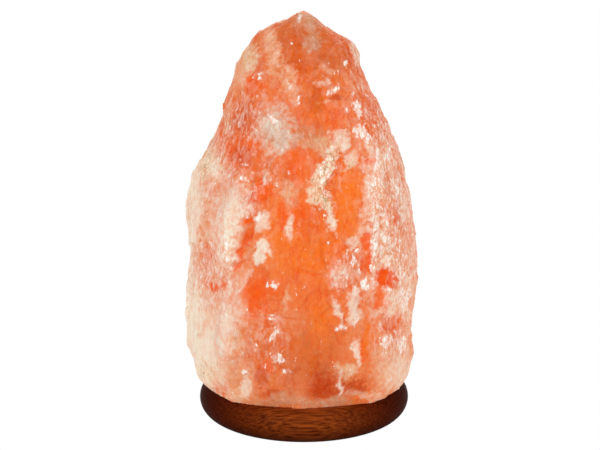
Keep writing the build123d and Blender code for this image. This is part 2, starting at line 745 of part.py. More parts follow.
def filament_path():
    """Arc from one lead wire to the other, bowed forward."""
    height = press_top + lead_height + (filament_diameter + lead_diameter) / 2
    reach = lead_spread / 2 - lead_diameter
    return ThreePointArc((-reach, 0, height), (0, -filament_bow, height + filament_lift),
                         (reach, 0, height))


def filament():
    """The lit thread, with a short crimp at each end that stands on its lead wire."""
    path = filament_path()
    section = Plane(origin=path @ 0, z_dir=path % 0) * Circle(filament_diameter / 2)
    thread = sweep(section, path=path)
    for end in (path @ 0, path @ 1):
        thread += post(filament_diameter, press_top + lead_height, end.Z, end.X, end.Y)
    return thread


def filament_supports():
    """Fine hooks that hold the filament between its ends."""
    hooks = []
    for side in (-1, 1):
        foot = side * support_foot_spacing / 2
        share = 0.5 + side * support_spread / 2 / (lead_spread - 2 * lead_diameter)
        tip = filament_path() @ share - Vector(0, 0, filament_diameter / 2 + slip)
        points = [(foot, 0, press_top - support_seat_depth),
                  (foot, 0, press_top + support_straight_length), tip]
        hooks.append(wire(points, support_diameter, support_bend_radius))
    return group(hooks)


# ---------------------------------------------------------------- all nodes
nodes = {
    "salt_crystal": salt_crystal,
    "wooden_base": wooden_base,
    "screw_anchors": screw_anchors,
    "base_screws": base_screws,
    "rubber_feet": rubber_feet,
    "cord_grommet": cord_grommet,
    "holder_barrel": holder_barrel,
    "cord_cap": cord_cap,
    "cord_cap_screws": cord_cap_screws,
    "contact_carrier": contact_carrier,
    "contact_rivets": contact_rivets,
    "socket_shell": socket_shell,
    "tongue_foot": tongue_foot,
    "centre_contact": centre_contact,
    "terminals": terminals,
    "terminal_screws": terminal_screws,
    "clip_pads": lambda: both_sides(clip_pad()),
    "clip_rivets": lambda: both_sides(clip_rivet()),
    "clip_arm_right": clip_arm,
    "clip_arm_left": lambda: clip_arm().rotate(Axis.Z, 180),
    "bulb_glass": bulb_glass,
    "bulb_cap": bulb_cap,
    "cap_insulator": cap_insulator,
    "cap_contact": cap_contact,
    "bulb_stem": bulb_stem,
    "lead_wires": lead_wires,
    "filament": filament,
    "filament_supports": filament_supports,
}

os.makedirs("parts", exist_ok=True)
for name, make in nodes.items():
    export_step(make(), f"parts/{name}.step")
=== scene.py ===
import bpy
import bmesh
import math
import random
import numpy as np
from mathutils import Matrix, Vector, noise


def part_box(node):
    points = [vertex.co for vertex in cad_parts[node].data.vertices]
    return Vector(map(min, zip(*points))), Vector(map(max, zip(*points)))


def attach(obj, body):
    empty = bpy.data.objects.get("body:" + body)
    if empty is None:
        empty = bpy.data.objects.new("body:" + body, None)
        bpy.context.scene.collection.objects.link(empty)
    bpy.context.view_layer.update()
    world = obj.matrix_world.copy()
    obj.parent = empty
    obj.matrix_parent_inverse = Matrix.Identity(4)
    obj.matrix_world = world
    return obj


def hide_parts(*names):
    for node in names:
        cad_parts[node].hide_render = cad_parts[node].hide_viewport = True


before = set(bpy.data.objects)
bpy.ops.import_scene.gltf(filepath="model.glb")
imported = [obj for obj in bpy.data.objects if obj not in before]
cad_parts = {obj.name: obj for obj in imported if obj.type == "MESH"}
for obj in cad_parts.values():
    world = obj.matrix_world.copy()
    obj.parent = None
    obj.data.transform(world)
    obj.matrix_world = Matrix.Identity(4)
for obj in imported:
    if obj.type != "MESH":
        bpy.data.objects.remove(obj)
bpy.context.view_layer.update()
mm = 0.001


# camera
photo = {
    "width": 600,                    # pixels
    "height": 450,
    "eye": (0.0, -1.5, 0.5452),      # metres
    "aim": (0.0, 0.0, 0.1407),
    "focal": 2198,                   # pixels
    "axis": 304,                     # column of the lamp's axis
    "sensor": 36.0,
    "farthest": 20,                  # metres
}


def addObject(name, data):
    made = bpy.data.objects.new(name, data)
    bpy.context.scene.collection.objects.link(made)
    return made


def turnTo(thing, target):
    towards = Vector(target) - thing.location
    thing.rotation_euler = towards.to_track_quat("-Z", "Y").to_euler()


def buildCamera(settings):
    data = bpy.data.cameras.new("camera")
    data.sensor_width = settings["sensor"]
    data.lens = settings["focal"] / settings["width"] * settings["sensor"]
    data.shift_x = 0.5 - settings["axis"] / settings["width"]
    data.clip_end = settings["farthest"]
    camera = addObject("camera", data)
    camera.location = settings["eye"]
    turnTo(camera, settings["aim"])
    bpy.context.scene.camera = camera


def photoPlace(points):
    # column and row of the photograph where each point of an (n, 3) array shows
    eye = np.array(photo["eye"])
    ahead = np.array(photo["aim"]) - eye
    ahead /= np.linalg.norm(ahead)
    right = np.array((1.0, 0.0, 0.0))
    up = np.cross(right, ahead)
    away = points - eye
    depth = away @ ahead
    column = photo["axis"] + photo["focal"] * (away @ right) / depth
    row = photo["height"] / 2 - photo["focal"] * (away @ up) / depth
    return column, row


buildCamera(photo)
print("camera ready")


# node helpers
def rgb(colour, alpha=1.0):
    return (colour[0], colour[1], colour[2], alpha)


def feed(tree, socket, value):
    if isinstance(value, bpy.types.NodeSocket):
        tree.links.new(value, socket)
    elif hasattr(socket.default_value, "__len__") and len(socket.default_value) == 4 and len(value) == 3:
        socket.default_value = rgb(value)
    else:
        socket.default_value = value


def addNode(tree, kind, inputs=None, **options):
    made = tree.nodes.new("ShaderNode" + kind)
    for name, value in options.items():
        setattr(made, name, value)
    for name, value in (inputs or {}).items():
        feed(tree, made.inputs[name], value)
    return made


def mixColour(tree, factor, first, second, blend="MIX"):
    made = addNode(tree, "Mix", data_type="RGBA", blend_type=blend)
    made.clamp_result = True
    feed(tree, made.inputs[0], factor)
    feed(tree, made.inputs[6], first)
    feed(tree, made.inputs[7], second)
    return made.outputs[2]


def maths(tree, operation, first, second=0.5, clamp=False):
    made = addNode(tree, "Math", operation=operation, use_clamp=clamp)
    feed(tree, made.inputs[0], first)
    feed(tree, made.inputs[1], second)
    return made.outputs[0]


def times(tree, first, second):
    return maths(tree, "MULTIPLY", first, second)


def vectorMaths(tree, operation, first, second=(0, 0, 0)):
    made = addNode(tree, "VectorMath", operation=operation)
    feed(tree, made.inputs[0], first)
    feed(tree, made.inputs[1], second)
    return made.outputs["Value" if operation == "DOT_PRODUCT" else "Vector"]


def spread(tree, value, low, high, toLow=0.0, toHigh=1.0):
    made = addNode(tree, "MapRange", {"Value": value, "From Min": low, "From Max": high,
                                      "To Min": toLow, "To Max": toHigh})
    return made.outputs["Result"]


def noiseField(tree, place, scale, detail, roughness=0.5, distortion=0.0):
    made = addNode(tree, "TexNoise", {"Vector": place, "Scale": scale, "Detail": detail,
                                      "Roughness": roughness, "Distortion": distortion})
    return made.outputs["Fac"]


def addBump(tree, shader, height, strength, distance):
    made = addNode(tree, "Bump", {"Height": height, "Strength": strength, "Distance": distance})
    feed(tree, shader.inputs["Normal"], made.outputs[0])


def mixShaders(tree, *parts):
    # a factor and two shaders
    made = addNode(tree, "MixShader")
    for socket, value in zip(made.inputs, parts):
        feed(tree, socket, value)
    return made.outputs[0]


def newGroup(name, inputs, outputs):
    group = bpy.data.node_groups.new(name, "ShaderNodeTree")
    for label, kind, value in inputs:
        socket = group.interface.new_socket(label, in_out="INPUT", socket_type="NodeSocket" + kind)
        if value is not None:
            socket.default_value = value
    for label, kind in outputs:
        group.interface.new_socket(label, in_out="OUTPUT", socket_type="NodeSocket" + kind)
    source = group.nodes.new("NodeGroupInput")
    sink = group.nodes.new("NodeGroupOutput")
    return group, source.outputs, sink.inputs


def useGroup(tree, group, inputs):
    made = tree.nodes.new("ShaderNodeGroup")
    made.node_tree = group
    for name, value in inputs.items():
        feed(tree, made.inputs[name], value)
    return made.outputs


def newMaterial(name):
    material = bpy.data.materials.new(name)
    material.use_nodes = True
    tree = material.node_tree
    place = addNode(tree, "TexCoord").outputs["Object"]
    return material, tree, tree.nodes["Principled BSDF"], place


def dress(nodeNames, material):
    for name in nodeNames:
        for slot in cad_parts[name].material_slots:
            slot.material = material


# shared groups
def mottleGroup():
    # two colours in soft clouds, with a fine height for bump
    group, given, wanted = newGroup(
        "mottle",
        [("Place", "Vector", None), ("Scale", "Float", 100.0), ("First", "Color", (1, 1, 1, 1)),
         ("Second", "Color", (0, 0, 0, 1))],
        [("Colour", "Color"), ("Height", "Float"), ("Mask", "Float")])
    cloud = noiseField(group, given["Place"], given["Scale"], 4.0, 0.6)
    fine = noiseField(group, given["Place"], times(group, given["Scale"], 8.0), 2.0)
    mask = spread(group, cloud, 0.35, 0.65)
    feed(group, wanted["Colour"], mixColour(group, mask, given["First"], given["Second"]))
    feed(group, wanted["Height"], fine)
    feed(group, wanted["Mask"], mask)
    return group


def strokesGroup():
    # long fine strokes along one axis, as rolling or brushing leaves them
    group, given, wanted = newGroup(
        "strokes",
        [("Place", "Vector", None), ("Stretch", "Vector", (40.0, 900.0, 900.0))],
        [("Value", "Float")])
    stretched = vectorMaths(group, "MULTIPLY", given["Place"], given["Stretch"])
    feed(group, wanted["Value"], noiseField(group, stretched, 1.0, 3.0))
    return group


def facetGroup():
    # tilted cells: each has its own plane, so that it catches the light on its own
    group, given, wanted = newGroup(
        "facets",
        [("Place", "Vector", None), ("Scale", "Float", 200.0)],
        [("Height", "Float")])
    scaled = addNode(group, "VectorMath", operation="SCALE")
    feed(group, scaled.inputs[0], given["Place"])
    feed(group, scaled.inputs["Scale"], given["Scale"])
    cells = addNode(group, "TexVoronoi", {"Vector": scaled.outputs[0], "Scale": 1.0})
    offset = vectorMaths(group, "SUBTRACT", scaled.outputs[0], cells.outputs["Position"])
    tilt = vectorMaths(group, "SUBTRACT", cells.outputs["Color"], (0.5, 0.5, 0.5))
    feed(group, wanted["Height"], vectorMaths(group, "DOT_PRODUCT", offset, tilt))
    return group


mottle = mottleGroup()
strokes = strokesGroup()
facets = facetGroup()


# studio
studio = {
    "floorSize": 6.0,
    "floorColour": (0.86, 0.86, 0.86),
    "worldFill": 0.5,
    "lightAim": (0, 0, 0.15),
    "lights": [                      # name, place, size, watts
        ("keyLight", (-1.1, -1.6, 1.5), 1.4, 20.0),
        ("fillLight", (1.4, -1.3, 0.8), 1.4, 11.0),
        ("rimLight", (0.3, 1.5, 1.3), 1.4, 12.0),
    ],
}


def buildStudio(settings):
    half = settings["floorSize"] / 2
    mesh = bpy.data.meshes.new("floor")
    corners = [(-half, -half, 0), (half, -half, 0), (half, half, 0), (-half, half, 0)]
    mesh.from_pydata(corners, [], [(0, 1, 2, 3)])
    floor = addObject("floor", mesh)
    material = bpy.data.materials.new("floorWhite")
    material.use_nodes = True
    tree = material.node_tree
    tree.nodes.clear()
    direct = addNode(tree, "LightPath").outputs["Is Camera Ray"]
    paper = addNode(tree, "BsdfDiffuse", {"Color": settings["floorColour"]}).outputs[0]
    bright = addNode(tree, "Emission", {"Color": (1.0, 1.0, 1.0), "Strength": 1.0}).outputs[0]
    below = addNode(tree, "NewGeometry").outputs["Backfacing"]
    clear = addNode(tree, "BsdfTransparent").outputs[0]
    under = mixShaders(tree, below, mixShaders(tree, direct, paper, bright), clear)
    feed(tree, addNode(tree, "OutputMaterial").inputs["Surface"], under)
    mesh.materials.append(material)

    world = bpy.data.worlds.new("studio")
    bpy.context.scene.world = world
    world.use_nodes = True
    tree = world.node_tree
    tree.nodes.clear()
    direct = addNode(tree, "LightPath").outputs["Is Camera Ray"]
    fill, white = [addNode(tree, "Background", {"Color": (1.0, 1.0, 1.0), "Strength": strength}).outputs[0]
                   for strength in (settings["worldFill"], 1.0)]
    feed(tree, addNode(tree, "OutputWorld").inputs["Surface"], mixShaders(tree, direct, fill, white))

    for name, place, size, watts in settings["lights"]:
        data = bpy.data.lights.new(name, "AREA")
        data.size = size
        data.energy = watts
        lamp = addObject(name, data)
        lamp.location = place
        turnTo(lamp, settings["lightAim"])
    bpy.context.scene.view_settings.view_transform = "Standard"


buildStudio(studio)
print("studio ready")


# salt crystal: its shape
rock = {
    "voxel": 1.1 * mm,
    "softening": 3,                  # passes that take the chipped planes' edges off
    "carveFade": 8 * mm,             # carvings end this far before and behind the middle
    "ridgeSteps": 4,                 # passes that average a vertex with its neighbours
    "ridgeRange": 0.25 * mm,
    "footSlope": -0.8,               # faces that look down more than this are the foot
    "drillSides": 96,
    "drillRadius": 26 * mm,
    "drillTop": 126 * mm,
    "drillBreak": 5 * mm,
    "anchorGap": 0.1 * mm,
    "seed": 7,                       # without one, noise_vector follows the clock
}
clouds = {                           # soft random fields over the rock: size, octaves, seed, amount
    "swell": (30 * mm, 3, 1.0, 1.6 * mm),
    "wobble": (7 * mm, 4, 11.0, 4.5),    # pixels, as the next two
    "sway": (8 * mm, 4, 23.0, 6.0),
    "carveWobble": (7 * mm, 3, 11.0, 3.0),
    "veil": (26 * mm, 4, 3.0, 1.0),
    "ragged": (2.6 * mm, 4, 17.0, 0.45),
    "broken": (38 * mm, 3, 31.0, 1.0),
}
cells = {                            # tilted planes broken into the rock: size, seed, height
    "plane": (13 * mm, 5.0, 2.1 * mm),
    "chip": (5.5 * mm, 9.0, 1.2 * mm),
    "grain": (2.6 * mm, 2.0, 0.8 * mm),
}
tints = {                            # linear colours of the lit salt
    "orange": (0.86, 0.20, 0.050),
    "amber": (0.92, 0.21, 0.022),
    "ember": (0.92, 0.135, 0.006),
    "copper": (0.68, 0.15, 0.034),
    "ochre": (0.70, 0.12, 0.004),
    "coral": (0.82, 0.24, 0.090),
    "peach": (0.85, 0.38, 0.20),
    "shell": (0.90, 0.52, 0.34),
    "dusk": (0.64, 0.28, 0.15),
    "sand": (0.80, 0.48, 0.29),
    "blush": (0.88, 0.62, 0.50),
    "cream": (0.91, 0.76, 0.63),
    "straw": (0.90, 0.74, 0.55),
    # the white of frost in the salt, which the frost marks and flecks also lay as painted glints on the
    # crystal faces
    "frost": (0.97, 0.92, 0.88),
    "cloud": (0.70, 0.61, 0.53),
    "rust": (0.58, 0.074, 0.008),
    "tan": (0.46, 0.27, 0.11),       # the specks in the crust
}
# Marks on the front of the crystal: tint, column and row of the photograph, half width, half height,
# turn in degrees (top to the right), strength. The wide ones come first and small ones lie over them.
# Frost marks are partly white crystal, partly painted glints and highlights.
marks = [
    # broad fields
    ("copper", 305, 50, 60, 45, 0, 1.0),
    ("orange", 310, 110, 50, 60, 0, 0.7),
    ("coral", 240, 130, 26, 60, 14, 0.8),
    ("coral", 375, 120, 26, 55, -24, 0.7),
    ("blush", 208, 205, 26, 60, 10, 0.8),
    ("blush", 208, 290, 28, 60, 0, 0.6),
    ("cream", 190, 215, 16, 64, 3, 1.0),
    ("frost", 186, 196, 6, 22, 6, 0.5),
    ("frost", 186, 312, 6, 22, 0, 0.5),
    ("cream", 188, 300, 12, 50, 0, 0.8),
    ("cream", 200, 350, 24, 50, 0, 0.9),
    ("blush", 226, 330, 18, 50, 4, 0.8),
    ("peach", 246, 362, 20, 36, 6, 0.9),
    ("coral", 254, 364, 14, 34, 4, 0.7),
    ("cream", 393, 220, 26, 84, 0, 0.95),
    ("blush", 402, 215, 14, 60, -4, 0.5),
    ("shell", 397, 310, 24, 50, 0, 0.8),
    ("cream", 405, 290, 8, 30, 0, 0.5),
    ("peach", 393, 362, 28, 30, 0, 0.7),
    ("shell", 396, 368, 18, 20, 0, 0.7),
    ("blush", 402, 372, 12, 20, 0, 0.5),
    ("amber", 298, 240, 42, 50, 0, 0.9),
    ("orange", 305, 300, 46, 50, 0, 0.8),
    ("copper", 305, 365, 50, 40, 0, 0.7),
    # top
    ("dusk", 311, 20, 15, 13, 0, 0.9),
    ("peach", 272, 50, 9, 26, -10, 0.9),
    ("coral", 262, 46, 5, 16, -4, 0.8),
    ("sand", 248, 58, 9, 15, 10, 0.95),
    ("peach", 240, 80, 10, 14, 10, 0.7),
    ("ember", 256, 86, 9, 10, 0, 0.7),
    ("ochre", 299, 58, 6, 17, -3, 0.95),
    ("ochre", 297, 72, 9, 8, 0, 0.6),
    ("dusk", 313, 42, 11, 9, 0, 0.8),
    ("copper", 330, 62, 18, 10, 0, 0.9),
    ("ochre", 347, 52, 7, 8, 0, 0.7),
    ("blush", 356, 52, 5, 16, -10, 0.8),
    ("frost", 346, 63, 2, 5, 0, 0.9),
    ("frost", 301, 19, 2, 3, 0, 0.7),
    ("frost", 259, 76, 4, 3, 0, 0.8),
    ("peach", 290, 84, 10, 20, -10, 0.75),
    ("frost", 290, 89, 3, 5, 20, 0.85),
    ("frost", 299, 99, 5, 2, -50, 0.8),
    ("peach", 329, 68, 8, 4, 0, 0.6),
    ("blush", 323, 82, 8, 5, 10, 0.5),
    ("frost", 325, 79, 4, 1.6, -10, 0.6),
    ("frost", 334, 91, 7, 3, -40, 0.85),
    ("ochre", 316, 100, 8, 16, 0, 0.75),
    ("rust", 338, 98, 8, 4, -20, 0.7),
    ("ember", 330, 118, 14, 10, 0, 0.4),
    ("peach", 325, 104, 9, 2, 10, 0.7),
    ("frost", 357, 107, 4, 11, -30, 0.85),
    ("frost", 366, 111, 3, 5, 0, 0.85),
    ("frost", 345, 110, 3, 4, 0, 0.7),
    ("frost", 359, 131, 8, 6, 0, 0.95),
    ("frost", 368, 138, 4, 4, 0, 0.8),
    ("blush", 362, 88, 3, 8, -20, 0.6),
    # cloud and the broken band left of it
    ("cloud", 272, 125, 18, 19, 30, 0.9),
    ("cloud", 286, 141, 15, 11, 0, 0.85),
    ("frost", 272, 118, 6, 6, 0, 0.95),
    ("dusk", 306, 140, 22, 13, 0, 0.75),
    ("sand", 320, 145, 24, 8, 6, 0.5),
    ("sand", 228, 118, 5, 16, 8, 0.8),
    ("rust", 243, 118, 9, 16, 30, 0.4),
    ("ember", 240, 152, 18, 17, 10, 0.75),
    ("rust", 243, 157, 12, 10, 0, 0.35),
    ("dusk", 262, 137, 12, 6, 30, 0.6),
    ("frost", 245, 163, 3, 2, 20, 0.95),
    ("frost", 254, 171, 2, 2, 0, 0.9),
    ("frost", 244, 178, 4, 4, 0, 0.85),
    ("blush", 266, 176, 9, 4, 40, 0.8),
    ("frost", 263, 184, 3, 2, 0, 0.9),
    ("blush", 268, 152, 4, 5, 0, 0.7),
    ("ember", 262, 190, 12, 10, 40, 0.7),
    # left flank
    ("straw", 208, 165, 12, 14, 25, 0.9),
    ("cream", 216, 168, 6, 10, 0, 0.8),
    ("cream", 192, 208, 8, 34, 4, 0.8),
    ("peach", 207, 222, 7, 26, 6, 0.7),
    ("coral", 214, 187, 14, 9, 10, 0.6),
    ("blush", 238, 200, 17, 12, 20, 0.85),
    ("blush", 231, 222, 14, 36, 16, 0.7),
    ("cream", 231, 226, 9, 22, 18, 0.9),
    ("cream", 226, 250, 9, 20, 8, 0.95),
    ("frost", 225, 250, 6, 16, 8, 0.4),
    ("coral", 207, 262, 10, 22, 0, 0.8),
    ("peach", 197, 258, 7, 12, 0, 0.7),
    ("blush", 205, 270, 16, 10, 0, 0.6),
    ("ember", 259, 196, 6, 12, 38, 0.9),
    ("ember", 252, 222, 7, 6, 0, 0.95),
    ("coral", 248, 236, 6, 18, 24, 0.9),
    ("ember", 247, 240, 3.4, 15, 26, 0.9),
    ("rust", 248, 238, 1.2, 9, 26, 0.4),
    ("ember", 240, 262, 3.2, 14, 18, 0.9),
    ("ember", 216, 287, 10, 4, 10, 0.9),
    ("blush", 244, 282, 3, 14, 30, 0.85),
    ("blush", 262, 222, 8, 12, 0, 0.8),
    ("frost", 260, 218, 3, 5, 10, 0.8),
    ("cream", 261, 252, 8, 12, 10, 0.95),
    # middle
    ("ember", 297, 164, 15, 20, 0, 0.75),
    ("peach", 289, 197, 8, 14, 0, 0.95),
    ("peach", 281, 182, 8, 6, 30, 0.6),
    ("ember", 283, 216, 5, 16, 0, 0.85),
    ("ember", 301, 214, 12, 18, 0, 0.85),
    ("cream", 289, 227, 4, 13, 4, 0.9),
    ("orange", 318, 240, 20, 30, 0, 0.6),
    ("amber", 349, 190, 16, 30, 0, 1.0),
    ("amber", 342, 222, 14, 20, 10, 0.9),
    ("amber", 315, 258, 24, 20, 0, 0.9),
    ("ember", 330, 262, 12, 16, 0, 0.35),
    ("straw", 350, 165, 9, 3, -25, 0.8),
    ("blush", 340, 141, 9, 12, 10, 0.85),
    ("straw", 334, 152, 8, 9, 30, 0.8),
    ("straw", 326, 167, 9, 10, 20, 0.95),
    ("straw", 320, 180, 9, 12, 10, 1.0),
    ("straw", 316, 194, 8, 12, 0, 0.9),
    ("straw", 326, 205, 7, 12, -26, 1.0),
    ("cream", 332, 221, 5, 12, -24, 0.95),
    ("blush", 352, 158, 9, 6, -20, 0.7),
    ("coral", 309, 172, 4, 14, 0, 0.5),
    ("blush", 378, 182, 13, 36, 6, 0.9),
    ("cream", 379, 182, 9, 32, 6, 0.8),
    ("frost", 377, 182, 7, 28, 8, 0.7),
    ("frost", 379, 160, 4, 9, 0, 0.8),
    ("ember", 370, 158, 5, 5, 0, 0.7),
    ("frost", 391, 158, 3, 14, -14, 0.7),
    ("frost", 397, 186, 3, 7, 0, 0.9),
    ("coral", 388, 188, 4, 14, -10, 0.7),
    ("coral", 402, 178, 4, 16, -12, 0.7),
    ("coral", 397, 204, 3, 10, 16, 0.7),
    ("ember", 392, 200, 2.4, 7, 10, 0.6),
    ("ember", 394, 216, 4, 9, -20, 0.9),
    ("ember", 366, 242, 6, 9, 0, 0.9),
    ("ember", 366, 264, 6, 12, 0, 0.9),
    ("blush", 376, 240, 5, 46, 3, 0.8),
    ("frost", 373, 250, 2.6, 38, 3, 0.85),
    ("frost", 396, 240, 5, 16, -16, 0.6),
    ("frost", 384, 216, 4, 18, 0, 0.6),
    ("cream", 388, 205, 7, 26, -8, 0.7),
    ("cream", 388, 252, 6, 16, 0, 0.7),
    ("blush", 352, 242, 6, 5, 0, 0.7),
    ("frost", 351, 262, 2, 8, 15, 0.85),
    ("frost", 356, 252, 3, 2, 0, 0.8),
    ("blush", 342, 274, 12, 12, 0, 0.8),
    ("frost", 364, 288, 5, 5, 0, 0.85),
    ("ember", 386, 278, 12, 11, 35, 1.0),
    ("ember", 378, 296, 5, 12, 10, 0.8),
    ("blush", 386, 240, 10, 20, 0, 0.7),
    ("frost", 402, 270, 8, 14, 0, 0.6),
    ("coral", 402, 226, 4, 10, -20, 0.6),
    ("ember", 386, 214, 2.4, 9, -8, 0.6),
    # lower
    ("ember", 256, 296, 13, 22, 0, 0.95),
    ("ember", 268, 286, 14, 9, 0, 0.7),
    ("frost", 267, 283, 2, 4, 10, 0.95),
    ("frost", 275, 283, 2, 4, -10, 0.9),
    ("peach", 286, 300, 3, 15, 6, 0.8),
    ("coral", 296, 322, 22, 12, 0, 0.6),
    ("amber", 322, 318, 13, 20, 0, 0.8),
    ("orange", 345, 302, 7, 10, 0, 0.7),
    ("blush", 338, 312, 3, 16, -22, 0.85),
    ("blush", 354, 306, 6, 20, 0, 0.8),
    ("frost", 341, 327, 6, 4, 0, 0.85),
    ("frost", 356, 322, 3, 8, 0, 0.8),
    ("amber", 367, 334, 3, 30, 0, 0.85),
    ("ember", 362, 350, 5, 14, 0, 0.6),
    ("coral", 350, 350, 10, 8, 0, 0.7),
    ("sand", 346, 369, 13, 8, 0, 0.6),
    ("blush", 357, 353, 3, 12, -8, 0.9),
    ("frost", 274, 319, 7, 3, 20, 0.8),
    ("frost", 275, 332, 3, 7, 20, 0.85),
    ("frost", 265, 341, 5, 3, 0, 0.8),
    ("coral", 252, 335, 8, 20, 8, 0.6),
    ("coral", 264, 370, 14, 20, 0, 0.8),
    ("ember", 266, 366, 7, 12, 10, 0.6),
    ("rust", 262, 376, 7, 10, 0, 0.5),
    ("frost", 278, 358, 6, 5, 0, 0.7),
    ("frost", 286, 374, 5, 4, -20, 0.7),
    ("frost", 244, 372, 2, 4, 0, 0.8),
    ("blush", 246, 385, 3, 12, -10, 0.7),
    ("ochre", 316, 366, 6, 14, 0, 0.7),
    ("rust", 322, 386, 20, 13, 0, 1.0),
    ("rust", 296, 380, 9, 12, 0, 0.7),
    ("rust", 354, 388, 14, 8, 12, 0.9),
    ("blush", 340, 386, 2, 14, 6, 0.9),
    ("orange", 392, 324, 12, 10, 0, 0.85),
    ("cream", 392, 300, 6, 12, 10, 0.8),
    ("ember", 386, 302, 6, 10, 0, 0.5),
    ("frost", 387, 343, 6, 7, 0, 0.8),
    ("frost", 402, 345, 4, 8, 0, 0.8),
    ("frost", 405, 300, 5, 16, 0, 0.7),
    ("cream", 190, 300, 7, 26, 0, 0.7),
    ("coral", 203, 328, 3, 9, 0, 0.35),
    ("peach", 212, 312, 5, 14, 6, 0.6),
    ("frost", 224, 318, 5, 18, 2, 0.6),
    ("ember", 233, 300, 2.4, 16, 0, 0.4),
    ("frost", 204, 362, 6, 12, 0, 0.5),
    ("blush", 226, 330, 7, 30, 2, 0.7),
    ("straw", 205, 372, 14, 14, 0, 0.7),
    ("shell", 236, 397, 18, 6, -16, 0.6),
    # painted shade: the dusk marks darken the bottom edge of the rock
    ("dusk", 282, 400, 26, 7, -4, 0.7),
    ("coral", 300, 385, 12, 12, 0, 0.7),
    ("dusk", 324, 404, 24, 7, 2, 0.8),
    ("shell", 368, 396, 24, 6, 14, 0.5),
    ("dusk", 340, 398, 14, 5, 0, 0.6),
    ("rust", 270, 394, 12, 4, -6, 0.5),
]
grains = [                           # broken, sparkling areas of the front: like marks, without a tint
    (300, 130, 140, 150, 0, 0.25),
    (240, 130, 24, 50, 14, 1.0),
    (258, 190, 14, 40, 24, 0.9),
    (392, 220, 26, 90, -4, 1.0),
    (378, 120, 22, 50, -24, 0.9),
    (328, 180, 15, 42, 14, 1.0),
    (345, 270, 20, 34, 0, 0.7),
    (212, 270, 26, 40, 0, 0.7),
    (352, 60, 12, 34, -20, 0.6),
    (268, 345, 24, 40, 0, 0.5),
    (392, 330, 22, 30, 0, 0.7),
    (205, 210, 16, 40, 0, 0.5),
]
carvings = [                         # shapes that stand out or in: as the grains, the strength in millimetres
    (229, 236, 17, 38, 14, 1.6),
    (253, 222, 4, 14, 20, -2.2),
    (246, 242, 3, 14, 28, -2.2),
    (238, 260, 3, 12, 20, -1.8),
    (340, 145, 9, 14, 14, 1.6),
    (326, 168, 9, 18, 24, 2.0),
    (322, 198, 9, 18, -16, 2.0),
    (332, 222, 4, 12, -22, 1.4),
    (349, 192, 13, 34, 0, -1.6),
    (375, 244, 2.5, 48, 3, 2.2),
    (386, 278, 10, 9, 35, -2.8),
    (366, 252, 5, 26, 0, -1.5),
    (272, 124, 16, 14, 20, 1.2),
    (240, 154, 16, 16, 0, -1.6),
    (256, 296, 12, 20, 0, -1.4),
    (274, 318, 28, 1.6, 4, -1.2),
    (338, 312, 2.5, 17, -22, 1.4),
    (355, 306, 4, 22, 0, 1.4),
    (205, 172, 12, 14, 20, 1.8),
    (193, 250, 7, 8, 0, -1.8),
    (185, 232, 5, 4, 0, -2.2),
    (185, 281, 5, 4, 0, -2.4),
    (186, 308, 5, 4, 0, -1.6),
    (412, 268, 4, 4, 0, -1.8),
    (411, 340, 4, 5, 0, -1.8),
    (262, 376, 9, 14, 0, -1.2),
    (392, 324, 11, 8, 0, -1.6),
]
around = {                           # the sides and the back, which the photograph doesn't show
    "seed": 7,
    "count": 260,
    "scale": 1.43 * 1000,            # pixels of the photograph to a metre
    "radius": 0.075,
    "top": 20,
    "bottom": 405,
    "softFrom": 11.0,                # marks wider than this run softly into each other
    "crispFrom": 4.0,                # and those narrower than this fade at their edges
    "frontEdge": 86.0,               # degrees from the front where the seen marks give way
    "backEdge": 106.0,
    "largest": 34,                   # pixels that the first mark is larger than the smallest
    "smallest": 3,
    "taper": 1.6,
    "tints": ["orange", "amber", "ember", "copper", "ochre", "coral", "peach", "dusk", "sand", "blush",
              "cream", "straw", "frost", "cloud", "rust", "peach", "coral", "blush", "orange", "cream"],
}


def connected(start):
    # every vertex that edges join to the first
    found, queue = {start}, [start]
    while queue:
        for edge in queue.pop().link_edges:
            for vert in edge.verts:
                if vert not in found:
                    found.add(vert)
                    queue.append(vert)
    return found


def outerSkin(source):
    # the outside of the block alone, closed by a flat foot
    shape = bmesh.new()
    shape.from_mesh(source.data)
    bmesh.ops.remove_doubles(shape, verts=shape.verts, dist=0.01 * mm)
    foot = min(v.co.z for v in shape.verts)
    flat = [f for f in shape.faces if max(abs(v.co.z - foot) for v in f.verts) < 0.05 * mm]
    bmesh.ops.delete(shape, geom=flat, context="FACES")
    kept = connected(max(shape.verts, key=lambda v: v.co.z))
    bmesh.ops.delete(shape, geom=[v for v in shape.verts if v not in kept], context="VERTS")
    bmesh.ops.holes_fill(shape, edges=[e for e in shape.edges if e.is_boundary])
    mesh = bpy.data.meshes.new("saltRock")
    shape.to_mesh(mesh)
    shape.free()
    return addObject("saltRock", mesh)


def applyModifiers(piece):
    bpy.context.view_layer.update()
    shown = piece.evaluated_get(bpy.context.evaluated_depsgraph_get())
    mesh = bpy.data.meshes.new_from_object(shown)
    piece.modifiers.clear()
    old = piece.data
    piece.data = mesh
    bpy.data.meshes.remove(old)


def remesh(piece, voxel, passes):
    grid = piece.modifiers.new("grid", "REMESH")
    grid.mode = "VOXEL"
    grid.voxel_size = voxel
    soft = piece.modifiers.new("soft", "SMOOTH")
    soft.factor = 0.5
    soft.iterations = passes
    applyModifiers(piece)


def meshArrays(mesh):
    points = np.empty(len(mesh.vertices) * 3)
    mesh.vertices.foreach_get("co", points)
    normals = np.empty(len(mesh.vertices) * 3)
    mesh.vertex_normals.foreach_get("vector", normals)
    return points.reshape(-1, 3), normals.reshape(-1, 3)


def cloudField(points, name):
    size, octaves, seed, amount = clouds[name]
    shift = Vector((seed, seed * 1.7, seed * 0.6))
    return np.array([noise.fractal(Vector(p) / size + shift, 0.9, 2.1, octaves) for p in points]) * amount


